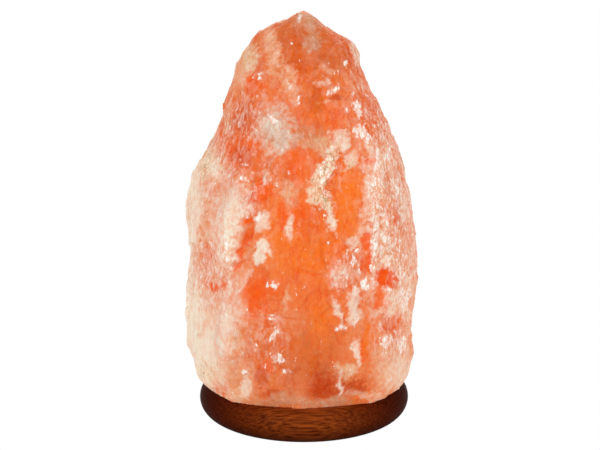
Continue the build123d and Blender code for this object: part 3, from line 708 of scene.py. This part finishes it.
def cellField(points, name):
    # height over a tilted plane in each cell
    size, seed, amount = cells[name]
    shift = Vector((seed, seed * 0.8, seed * 1.3))
    heights = np.empty(len(points))
    for i, p in enumerate(points):
        q = Vector(p) / size + shift
        centre = noise.voronoi(q)[1][0]
        tilt = noise.noise_vector(centre * 7.31)
        heights[i] = (q - centre).dot(tilt) + 0.35 * tilt.z
    return heights * amount


def smoothstep(low, high, value):
    share = np.clip((value - low) / (high - low), 0, 1)
    return share * share * (3 - 2 * share)


def frontShare(angle):
    # 1 on the side that the photograph shows, 0 on the back
    return 1 - smoothstep(math.radians(around["frontEdge"]), math.radians(around["backEdge"]), np.abs(angle))


def patchWeight(column, row, x, y, halfWidth, halfHeight, turn, strength, width=None, ragged=0.0):
    angle = math.radians(turn)
    dx, dy = column - x, row - y
    if width:
        dx = (dx + width / 2) % width - width / 2
    across = (dx * math.cos(angle) + dy * math.sin(angle)) / halfWidth
    along = (-dx * math.sin(angle) + dy * math.cos(angle)) / halfHeight
    narrow = min(halfWidth, halfHeight)
    soft = 0.5 if narrow > around["softFrom"] else 0.08 if narrow > around["crispFrom"] else 0.32
    return strength * (1 - smoothstep(0.7 - soft, 1.15 + soft, np.hypot(across, along) + ragged))


def layMarks(made, column, row, base, ragged, width=None):
    # the tint of each point, how thickly frost crystals and painted glints lie there, and how much of a crust
    # there is
    colour, frost, crust = base.copy(), np.zeros(len(base)), np.zeros(len(base))
    for mark in made:
        weight = patchWeight(column, row, *mark[1:], width, ragged)
        isFrostAndGlint = mark[0] == "frost"
        colour += (np.array(tints[mark[0]]) - colour) * (weight * (0.35 if isFrostAndGlint else 1.0))[:, None]
        frost += ((1.0 if isFrostAndGlint else 0.0) - frost) * weight
        crust += ((1.0 if mark[0] == "straw" else 0.0) - crust) * weight
    return colour, frost, crust


def backMarks():
    # marks of the same kinds, wide ones first, over a flat map of the whole outside
    dice = random.Random(around["seed"])
    width = 2 * math.pi * around["radius"] * around["scale"]
    made = []
    for i in range(around["count"]):
        size = around["largest"] * (1 - i / around["count"]) ** around["taper"] + around["smallest"]
        made.append((dice.choice(around["tints"]), dice.uniform(0, width),
                     dice.uniform(around["top"], around["bottom"]), size * dice.uniform(0.5, 1.0),
                     size * dice.uniform(0.8, 1.9), dice.uniform(-30, 30), dice.uniform(0.5, 0.95)))
    return made, width


def paintRock(piece, points, height):
    column, row = photoPlace(points)
    wobble, sway = cloudField(points, "wobble"), cloudField(points, "sway")
    column, row = column + wobble, row + sway
    angle = np.arctan2(points[:, 0], -points[:, 1])
    mapColumn = angle * around["radius"] * around["scale"] + wobble
    mapRow = around["bottom"] - (points[:, 2] - points[:, 2].min()) * around["scale"] + sway
    veil = smoothstep(-0.5, 0.6, cloudField(points, "veil"))
    base = np.array(tints["orange"]) + np.outer(veil * 0.5, np.array(tints["peach"]) - tints["orange"])
    seen = frontShare(angle)
    # painted light: both flanks turn paler, as thin salt lit through from behind
    litFlank = 1 - smoothstep(0.1, 0.9, np.abs(np.abs(angle) - math.pi / 2))
    backBase = base + (np.array(tints["blush"]) - base) * (litFlank * 0.7)[:, None]
    ragged = cloudField(points, "ragged")
    front, frontFrostAndGlint, frontCrust = layMarks(marks, column, row, base, ragged)
    made, width = backMarks()
    rear, rearFrostAndGlint, rearCrust = layMarks(made, mapColumn, mapRow, backBase, ragged, width)
    surface = [roughness(points), height, rearFrostAndGlint + (frontFrostAndGlint - rearFrostAndGlint) * seen]
    crust = rearCrust + (frontCrust - rearCrust) * seen
    writeColour(piece, "saltTint", [*(rear + (front - rear) * seen[:, None]).T, crust])
    writeColour(piece, "saltSurface", [*surface, np.ones(len(points))])


def writeColour(piece, name, channels):
    layer = piece.data.attributes.new(name, "FLOAT_COLOR", "POINT")
    layer.data.foreach_set("color", np.array(channels).T.ravel())


def roughness(points):
    # 1 where the crystal is broken and granular, 0 where it is smooth
    column, row = photoPlace(points)
    seen = frontShare(np.arctan2(points[:, 0], -points[:, 1]))
    rough = np.zeros(len(points))
    for grain in grains:
        rough = np.maximum(rough, patchWeight(column, row, *grain))
    return rough * seen + smoothstep(-0.15, 0.35, cloudField(points, "broken")) * (1 - seen)


def rockRelief(points):
    rough = roughness(points)
    fine = cellField(points, "chip") * (0.3 + 0.7 * rough) + cellField(points, "grain") * rough
    column, row = photoPlace(points)
    column = column + cloudField(points, "carveWobble")
    front = 1 - smoothstep(-rock["carveFade"], rock["carveFade"], points[:, 1])
    carved = np.zeros(len(points))
    for carving in carvings:
        carved += patchWeight(column, row, *carving) * front
    return cloudField(points, "swell") + cellField(points, "plane") + fine + carved * mm


def addDrill(name, profile, place):
    # a turned cutter: radius and height along its side, round a vertical axis
    shape = bmesh.new()
    count = rock["drillSides"]
    turns = [2 * math.pi * i / count for i in range(count)]
    x, y = place
    rings = [[shape.verts.new((x + radius * math.cos(turn), y + radius * math.sin(turn), height))
              for turn in turns] for radius, height in profile]
    for low, high in zip(rings, rings[1:]):
        for i in range(count):
            shape.faces.new((low[i], low[(i + 1) % count], high[(i + 1) % count], high[i]))
    shape.faces.new(rings[0][::-1])
    shape.faces.new(rings[-1])
    mesh = bpy.data.meshes.new(name)
    shape.to_mesh(mesh)
    shape.free()
    return addObject(name, mesh)


def drillRock(piece, foot):
    below = foot - 2 * mm
    radius, top, broken = rock["drillRadius"], rock["drillTop"], rock["drillBreak"]
    cavity = [(radius, below), (radius, top - broken), (radius - broken, top)]
    cutters = [addDrill("cavityDrill", cavity, (0, 0))]
    for x, y, low, high in anchorPlaces():
        hole = (high[0] - low[0]) / 2
        cutters.append(addDrill("anchorDrill", [(hole, below), (hole, high[2])], (x, y)))
    for cutter in cutters:
        cut = piece.modifiers.new(cutter.name, "BOOLEAN")
        cut.operation = "DIFFERENCE"
        cut.solver = "MANIFOLD"
        cut.object = cutter
    applyModifiers(piece)
    for cutter in cutters:
        bpy.data.objects.remove(cutter)


def anchorPlaces():
    # centre and box of each plug, read from the CAD node that holds all of them
    shape = bmesh.new()
    shape.from_mesh(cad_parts["screw_anchors"].data)
    bmesh.ops.remove_doubles(shape, verts=shape.verts, dist=0.01 * mm)
    found, left = [], set(shape.verts)
    while left:
        island = connected(next(v for v in shape.verts if v in left))
        left -= island
        low = [min(v.co[axis] for v in island) - rock["anchorGap"] for axis in range(3)]
        high = [max(v.co[axis] for v in island) + rock["anchorGap"] for axis in range(3)]
        found.append(((low[0] + high[0]) / 2, (low[1] + high[1]) / 2, low, high))
    shape.free()
    return found


def ridgeHeight(mesh, points):
    # how far each vertex stands out of the surface around it
    ends = np.empty(len(mesh.edges) * 2, dtype=np.int32)
    mesh.edges.foreach_get("vertices", ends)
    first, second = ends.reshape(-1, 2).T
    count = np.bincount(ends, minlength=len(points))[:, None]
    near = points.copy()
    for _ in range(rock["ridgeSteps"]):
        total = np.zeros_like(near)
        np.add.at(total, first, near[second])
        np.add.at(total, second, near[first])
        near = total / count
    normals = meshArrays(mesh)[1]
    return ((points - near) * normals).sum(axis=1)


def buildSalt():
    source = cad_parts["salt_crystal"]
    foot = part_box("salt_crystal")[0].z
    piece = outerSkin(source)
    remesh(piece, rock["voxel"], rock["softening"])
    noise.seed_set(rock["seed"])
    points, normals = meshArrays(piece.data)
    relief = rockRelief(points)
    points = points + normals * relief[:, None]
    onFoot = normals[:, 2] < rock["footSlope"]
    points[:, 2] = np.where(onFoot, foot, np.maximum(points[:, 2], foot))
    piece.data.vertices.foreach_set("co", points.ravel())
    piece.data.update()
    ridges = smoothstep(-rock["ridgeRange"], rock["ridgeRange"], ridgeHeight(piece.data, points))
    paintRock(piece, points, ridges)
    drillRock(piece, foot)
    for face in piece.data.polygons:
        face.use_smooth = True
    return piece


saltLook = {
    "rich": (0.90, 0.44, 0.26),      # the tint times this is its deep shade
    "surface": (0.52, 0.56, 0.55),   # and the colour times these is what reflects and what glows, a painted glow that stands in for the bulb's light through the salt
    "glow": (0.53, 0.555, 0.525),
    "gamma": 1.1,
    "facets": 170.0,
    "crackle": 330.0,
    "warp": (3.4 * mm, 3.4 * mm, 3.4 * mm),
    "aside": (0.31, 0.17, 0.23),     # metres between the two sets of lines
    "bump": 0.9 * mm,
    "veins": {                       # scale, width of the line, and whether it is moved aside
        "pale": (95.0, 0.026, False),
        "fine": (240.0, 0.05, False),
        "deep": (150.0, 0.035, True),
        "thread": (185.0, 0.05, False),
        "coral": (170.0, 0.085, True),
    },
}


def crackleGroup():
    # small broken crystals: pale bodies, the dark lines between them, and fine flecks of white, for frost and
    # painted glints
    group, given, wanted = newGroup(
        "crackle", [("Place", "Vector", None), ("Scale", "Float", 420.0)],
        [("Body", "Float"), ("Line", "Float"), ("Fleck", "Float"), ("Height", "Float")])
    warp = addNode(group, "TexNoise", {"Vector": given["Place"], "Scale": times(group, given["Scale"], 0.6),
                                       "Detail": 2.0})
    moved = vectorMaths(group, "MULTIPLY", warp.outputs["Color"], saltLook["warp"])
    longer = vectorMaths(group, "MULTIPLY", vectorMaths(group, "ADD", given["Place"], moved), (1.0, 1.0, 0.5))
    place = {"Vector": longer, "Scale": given["Scale"]}
    edges = addNode(group, "TexVoronoi", place, feature="DISTANCE_TO_EDGE")
    shade = addNode(group, "SeparateColor", {"Color": addNode(group, "TexVoronoi", place).outputs["Color"]})
    fine = noiseField(group, longer, times(group, given["Scale"], 1.05), 3.0, 0.62, 0.7)
    feed(group, wanted["Body"], shade.outputs[0])
    feed(group, wanted["Line"], spread(group, edges.outputs["Distance"], 0.19, 0.03))
    feed(group, wanted["Fleck"], fine)
    feed(group, wanted["Height"], maths(group, "ADD", times(group, shade.outputs[1], 0.6), fine))
    return group


def veinGroup():
    # thin lines where a cloudy field crosses its middle, broken up by a second field
    group, given, wanted = newGroup(
        "veins", [("Place", "Vector", None), ("Scale", "Float", 100.0), ("Width", "Float", 0.03)],
        [("Line", "Float")])
    longer = vectorMaths(group, "MULTIPLY", given["Place"], (1.0, 1.0, 0.5))
    field = noiseField(group, longer, given["Scale"], 5.0, 0.62, 0.9)
    away = maths(group, "ABSOLUTE", maths(group, "SUBTRACT", field, 0.5))
    line = spread(group, maths(group, "DIVIDE", away, given["Width"]), 1.0, 0.0)
    cover = noiseField(group, longer, times(group, given["Scale"], 0.4), 2.0)
    feed(group, wanted["Line"], times(group, line, spread(group, cover, 0.42, 0.58)))
    return group


def weigh(tree, *terms):
    # the sum of values, each times its own share
    total = None
    for value, share in terms:
        part = times(tree, value, share)
        total = part if total is None else maths(tree, "ADD", total, part)
    return total


def saltMaterial():
    material, tree, shader, place = newMaterial("rockSalt")
    painted = addNode(tree, "Attribute", attribute_name="saltTint")
    tint, crust = painted.outputs["Color"], painted.outputs["Alpha"]
    second = addNode(tree, "Attribute", attribute_name="saltSurface")
    surface = addNode(tree, "SeparateColor", {"Color": second.outputs["Color"]})
    broken, proud, frost = surface.outputs
    blue = addNode(tree, "SeparateColor", {"Color": tint}).outputs["Blue"]
    grain = times(tree, broken, spread(tree, blue, 0.02, 0.12, 0.35, 1.0))
    big = useGroup(tree, facets, {"Place": place, "Scale": saltLook["facets"]})
    crackle = useGroup(tree, crackleGroup(), {"Place": place, "Scale": saltLook["crackle"]})
    moved = vectorMaths(tree, "ADD", place, saltLook["aside"])
    veins, vein = veinGroup(), {}
    for name, (scale, width, aside) in saltLook["veins"].items():
        inputs = {"Place": moved if aside else place, "Scale": scale, "Width": width}
        vein[name] = useGroup(tree, veins, inputs)["Line"]
    cloudy = noiseField(tree, place, 60.0, 8.0, 0.72, 0.8)
    longer = vectorMaths(tree, "MULTIPLY", place, (1.0, 1.0, 0.38))
    wisps = noiseField(tree, longer, 230.0, 6.0, 0.66, 0.5)
    # milky veils where the tint is pale already; painted shade, a deeper colour in the hollows of the relief,
    # joined by darker clouds and veins of the salt's own
    paleness = spread(tree, blue, 0.06, 0.3, 0.03, 1.0)
    veil = times(tree, weigh(tree, (spread(tree, cloudy, 0.50, 0.74), 0.4),
                             (spread(tree, wisps, 0.52, 0.70), 0.4)), paleness)
    milk = mixColour(tree, veil, tint, tints["cream"])
    rich = mixColour(tree, 1.0, tint, saltLook["rich"], "MULTIPLY")
    # painted shade where a vertex lies below its neighbours, stronger in the broken areas
    low = times(tree, spread(tree, proud, 0.42, 0.05), weigh(tree, (grain, 0.5), (0.18, 1.0)))
    hollowShadeAndTone = weigh(tree, (low, 1.0), (spread(tree, cloudy, 0.45, 0.28), 0.35),
                   (spread(tree, wisps, 0.47, 0.32), 0.45), (vein["deep"], 0.4))
    calm = times(tree, paleness, maths(tree, "SUBTRACT", 1.0, grain))
    kept = maths(tree, "SUBTRACT", 1.0, times(tree, calm, 0.75))
    deep = mixColour(tree, times(tree, maths(tree, "MINIMUM", hollowShadeAndTone, 1.0), kept), milk, rich)
    pale = mixColour(tree, 0.6, tint, tints["frost"])
    # pale lines of the veins, and a painted highlight along the ridges of the relief
    lines = times(tree, weigh(tree, (vein["pale"], 0.6), (vein["fine"], 0.45),
                              (spread(tree, proud, 0.6, 1.0), 0.25)),
                  weigh(tree, (paleness, 0.95), (0.05, 1.0)))
    veined = mixColour(tree, maths(tree, "MINIMUM", lines, 0.9), deep, pale)
    # broken crystals: pale bodies with deep lines between them, then frost and painted glints in flakes and
    # flecks, a little more on the ridges
    body = times(tree, spread(tree, crackle["Body"], 0.4, 0.75, 0.0, 0.9), grain)
    bodies = mixColour(tree, body, veined, pale)
    level = weigh(tree, (crackle["Fleck"], 0.6), (wisps, 0.4), (frost, 0.19), (grain, 0.06),
                  (spread(tree, proud, 0.55, 1.0), 0.04))
    frostAndGlintFlakes = mixColour(tree, spread(tree, level, 0.635, 0.685, 0.0, 0.97), bodies, tints["frost"])
    gap = times(tree, crackle["Line"], weigh(tree, (grain, 0.42), (crust, 0.2), (frost, 0.2)))
    warm = mixColour(tree, 0.5, rich, tints["ember"])
    lined = mixColour(tree, maths(tree, "MINIMUM", gap, 0.85), frostAndGlintFlakes, warm)
    squiggle = times(tree, vein["coral"], spread(tree, grain, 0.3, 0.9, 0.1, 0.85))
    etched = mixColour(tree, maths(tree, "MAXIMUM", squiggle, times(tree, vein["thread"], 0.45)), lined, warm)
    # painted shade in the small pits of the broken crystal, and tan specks of the crust's own
    pitted = weigh(tree, (maths(tree, "MAXIMUM", grain, crust), 0.85), (0.15, 1.0))
    pit = times(tree, spread(tree, crackle["Fleck"], 0.47, 0.38, 0.0, 0.9), pitted)
    pitShadeAndSpeck = mixColour(tree, times(tree, crust, 0.85), rich, tints["tan"])
    colour = addNode(tree, "Gamma", {"Color": mixColour(tree, pit, etched, pitShadeAndSpeck),
                                     "Gamma": saltLook["gamma"]}).outputs[0]
    feed(tree, shader.inputs["Base Color"], mixColour(tree, 1.0, colour, saltLook["surface"], "MULTIPLY"))
    # painted glow: the salt's emission stands in for the bulb's light shining through it
    feed(tree, shader.inputs["Emission Color"], mixColour(tree, 1.0, colour, saltLook["glow"], "MULTIPLY"))
    shader.inputs["Emission Strength"].default_value = 1.0
    shader.inputs["Specular IOR Level"].default_value = 0.08
    feed(tree, shader.inputs["Roughness"], spread(tree, cloudy, 0.3, 0.7, 0.26, 0.46))
    crumbs = times(tree, crackle["Height"], maths(tree, "ADD", grain, 0.15))
    relief = weigh(tree, (big["Height"], 0.45), (crumbs, 1.0), (vein["pale"], 0.3))
    addBump(tree, shader, relief, 1.0, saltLook["bump"])
    return material


saltPiece = buildSalt()
saltPiece.data.materials.clear()
saltPiece.data.materials.append(saltMaterial())
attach(saltPiece, "lamp")
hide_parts("salt_crystal")
print("salt crystal", len(saltPiece.data.polygons), "faces")

# wooden base
wood = {
    "dark": (0.014, 0.0010, 0.0002),   # linear colours of the stained board
    "middle": (0.078, 0.0066, 0.0008),
    # painted sheen: the light colour lies along the middle of the board
    "light": (0.42, 0.085, 0.012),
    "heart": 0.11,                   # metres from the board's face down to the middle of its tree
    "ringWidth": 2.6 * mm,
    "sheenHalfWidth": 42 * mm,           # half width of the painted sheen, a paler band along the middle of the board
    "shadeBottom": 4 * mm,           # painted shade: the board is darkest below this height, and even above the next one
    "shadeTop": 17 * mm,
    "endShadeFrom": 46 * mm,             # and painted shade darkens it towards both ends, from here to the next one
    "endShadeTo": 70 * mm,
}


def woodGroup():
    # growth rings of a flat board cut along X, with its pores and fine fibres, a painted sheen along the
    # middle and painted shade low down and towards both ends
    group, given, wanted = newGroup(
        "boardGrainShadeAndSheen", [("Place", "Vector", None)], [("Colour", "Color"), ("Height", "Float")])
    stretches = [(9.0, 26.0, 26.0), (60.0, 800.0, 800.0), (260.0, 1500.0, 1500.0)]
    places = [vectorMaths(group, "MULTIPLY", given["Place"], stretch) for stretch in stretches]
    sway = noiseField(group, places[0], 1.0, 3.0)
    fibres = noiseField(group, places[1], 1.0, 3.0, 0.55)
    pores = noiseField(group, places[2], 1.0, 1.0)
    x, y, z = addNode(group, "SeparateXYZ", {"Vector": given["Place"]}).outputs
    down = maths(group, "ADD", z, wood["heart"])
    squares = maths(group, "ADD", times(group, down, down), times(group, y, y))
    radius = maths(group, "POWER", squares, 0.5)
    swayed = maths(group, "ADD", radius, times(group, sway, 22 * mm))
    turns = times(group, swayed, 2 * math.pi / wood["ringWidth"])
    rings = maths(group, "ADD", times(group, maths(group, "SINE", turns), 0.5), 0.5)
    # painted sheen: a paler band along the middle, broken by the fibres
    away = maths(group, "POWER", maths(group, "DIVIDE", x, wood["sheenHalfWidth"]), 2.0)
    sheenStripe = maths(group, "POWER", math.e, times(group, away, -1.0))
    pale = times(group, sheenStripe, spread(group, fibres, 0.30, 0.72, 0.1, 0.9))
    board = mixColour(group, times(group, rings, 0.4), wood["middle"], wood["dark"])
    sheened = mixColour(group, times(group, pale, 0.9), board, wood["light"])
    streaked = mixColour(group, spread(group, fibres, 0.50, 0.30, 0.0, 0.3), sheened, wood["dark"])
    pitted = spread(group, pores, 0.34, 0.26, 0.0, 0.6)
    # painted shade: darker towards the bottom and towards both ends
    shade = spread(group, z, wood["shadeBottom"], wood["shadeTop"], 1.0, 0.0)
    ends = spread(group, maths(group, "ABSOLUTE", x), wood["endShadeFrom"], wood["endShadeTo"], 0.0, 0.5)
    paintedShade = maths(group, "MAXIMUM", times(group, shade, 0.75), ends)
    shaded = mixColour(group, paintedShade, streaked, wood["dark"])
    feed(group, wanted["Colour"], mixColour(group, pitted, shaded, wood["dark"]))
    feed(group, wanted["Height"], maths(group, "SUBTRACT", fibres, times(group, pitted, 0.8)))
    return group


def woodMaterial():
    material, tree, shader, place = newMaterial("stainedWood")
    grain = useGroup(tree, woodGroup(), {"Place": place})
    feed(tree, shader.inputs["Base Color"], grain["Colour"])
    feed(tree, shader.inputs["Roughness"], spread(tree, grain["Height"], 0.2, 0.8, 0.5, 0.36))
    shader.inputs["Specular IOR Level"].default_value = 0.012
    addBump(tree, shader, grain["Height"], 0.35, 0.3 * mm)
    return material


dress(["wooden_base"], woodMaterial())
print("base ready")

# moulded and glazed pieces
moulded = {                          # the CAD pieces, two linear colours, cloud size, roughness range, bump
    "anchorNylon": {"nodes": ["screw_anchors"], "first": (0.66, 0.66, 0.63), "second": (0.56, 0.56, 0.52),
                    "scale": 160.0, "rough": (0.42, 0.58), "bump": 0.05 * mm},
    "footRubber": {"nodes": ["rubber_feet"], "first": (0.055, 0.055, 0.054), "second": (0.034, 0.034, 0.036),
                   "scale": 220.0, "rough": (0.72, 0.9), "bump": 0.12 * mm},
    "grommetPlastic": {"nodes": ["cord_grommet"], "first": (0.034, 0.034, 0.035),
                       "second": (0.024, 0.024, 0.024), "scale": 140.0, "rough": (0.30, 0.42),
                       "bump": 0.04 * mm},
    "holderPlastic": {"nodes": ["holder_barrel", "cord_cap"], "first": (0.045, 0.045, 0.047),
                      "second": (0.033, 0.033, 0.034), "scale": 110.0, "rough": (0.44, 0.62),
                      "bump": 0.07 * mm},
    "carrierCeramic": {"nodes": ["contact_carrier"], "first": (0.88, 0.87, 0.84),
                       "second": (0.80, 0.78, 0.72), "scale": 90.0, "rough": (0.12, 0.24), "bump": 0.03 * mm},
    "capGlass": {"nodes": ["cap_insulator"], "first": (0.030, 0.030, 0.038), "second": (0.018, 0.016, 0.022),
                 "scale": 200.0, "rough": (0.10, 0.20), "bump": 0.03 * mm},
}


def mouldedMaterial(name, look):
    material, tree, shader, place = newMaterial(name)
    film = useGroup(tree, mottle, {"Place": place, "Scale": look["scale"], "First": look["first"],
                                   "Second": look["second"]})
    feed(tree, shader.inputs["Base Color"], film["Colour"])
    feed(tree, shader.inputs["Roughness"], spread(tree, film["Mask"], 0.0, 1.0, *look["rough"]))
    addBump(tree, shader, film["Height"], 0.5, look["bump"])
    return material


for name, look in moulded.items():
    dress(look["nodes"], mouldedMaterial(name, look))
print("moulded pieces ready")

# metals
metals = {                           # the CAD pieces, colour, tarnish colour, stroke stretch, roughness range
    "screwSteel": {"nodes": ["base_screws", "cord_cap_screws", "terminal_screws", "clip_rivets", "lead_wires",
                             "filament_supports"],
                   "bright": (0.68, 0.67, 0.64), "dull": (0.50, 0.48, 0.45), "stretch": (900.0, 900.0, 120.0),
                   "rough": (0.26, 0.42)},
    "springSteel": {"nodes": ["clip_pads", "clip_arm_left", "clip_arm_right"],
                    "bright": (0.64, 0.64, 0.65), "dull": (0.50, 0.49, 0.50),
                    "stretch": (1400.0, 1400.0, 60.0), "rough": (0.20, 0.34)},
    "brass": {"nodes": ["contact_rivets", "socket_shell", "tongue_foot", "centre_contact", "terminals"],
              "bright": (0.83, 0.64, 0.31), "dull": (0.62, 0.43, 0.17), "stretch": (500.0, 500.0, 1100.0),
              "rough": (0.24, 0.42)},
    "capMetal": {"nodes": ["bulb_cap"], "bright": (0.80, 0.79, 0.76), "dull": (0.66, 0.63, 0.58),
                 "stretch": (400.0, 400.0, 1300.0), "rough": (0.22, 0.38)},
    "solder": {"nodes": ["cap_contact"], "bright": (0.66, 0.66, 0.64), "dull": (0.46, 0.46, 0.45),
               "stretch": (600.0, 600.0, 600.0), "rough": (0.30, 0.50)},
}


def metalMaterial(name, look):
    material, tree, shader, place = newMaterial(name)
    lines = useGroup(tree, strokes, {"Place": place, "Stretch": look["stretch"]})["Value"]
    tarnish = useGroup(tree, mottle, {"Place": place, "Scale": 130.0, "First": look["bright"],
                                      "Second": look["dull"]})
    worn = mixColour(tree, spread(tree, lines, 0.55, 0.35, 0.0, 0.4), tarnish["Colour"], look["dull"])
    feed(tree, shader.inputs["Base Color"], worn)
    shader.inputs["Metallic"].default_value = 1.0
    feed(tree, shader.inputs["Roughness"], spread(tree, lines, 0.3, 0.7, *look["rough"]))
    addBump(tree, shader, lines, 0.3, 0.03 * mm)
    return material


for name, look in metals.items():
    dress(look["nodes"], metalMaterial(name, look))
print("metals ready")

# glass and filament of the bulb
glass = {
    "bulbGlass": {"nodes": ["bulb_glass"], "colour": (0.96, 0.96, 0.94), "haze": (0.90, 0.89, 0.85),
                  "rough": (0.02, 0.07), "through": 0.96},
    "stemGlass": {"nodes": ["bulb_stem"], "colour": (0.93, 0.95, 0.94), "haze": (0.84, 0.87, 0.86),
                  "rough": (0.05, 0.14), "through": 0.85},
}
glow = {
    "colour": (1.0, 0.62, 0.26),     # linear
    "hot": (1.0, 0.80, 0.45),
    "strength": 1.0,
}


def glassMaterial(name, look):
    material, tree, shader, place = newMaterial(name)
    film = useGroup(tree, mottle, {"Place": place, "Scale": 55.0, "First": look["colour"],
                                   "Second": look["haze"]})
    feed(tree, shader.inputs["Base Color"], film["Colour"])
    feed(tree, shader.inputs["Roughness"], spread(tree, film["Height"], 0.3, 0.7, *look["rough"]))
    shader.inputs["Transmission Weight"].default_value = look["through"]
    shader.inputs["IOR"].default_value = 1.5
    addBump(tree, shader, film["Mask"], 0.15, 0.05 * mm)
    return material


def filamentMaterial():
    material, tree, shader, place = newMaterial("hotWire")
    lines = useGroup(tree, strokes, {"Place": place, "Stretch": (900.0, 900.0, 900.0)})["Value"]
    colour = mixColour(tree, lines, glow["colour"], glow["hot"])
    feed(tree, shader.inputs["Base Color"], colour)
    feed(tree, shader.inputs["Emission Color"], colour)
    shader.inputs["Emission Strength"].default_value = glow["strength"]
    shader.inputs["Metallic"].default_value = 1.0
    feed(tree, shader.inputs["Roughness"], spread(tree, lines, 0.3, 0.7, 0.35, 0.5))
    return material


for name, look in glass.items():
    dress(look["nodes"], glassMaterial(name, look))
dress(["filament"], filamentMaterial())
print("bulb ready")
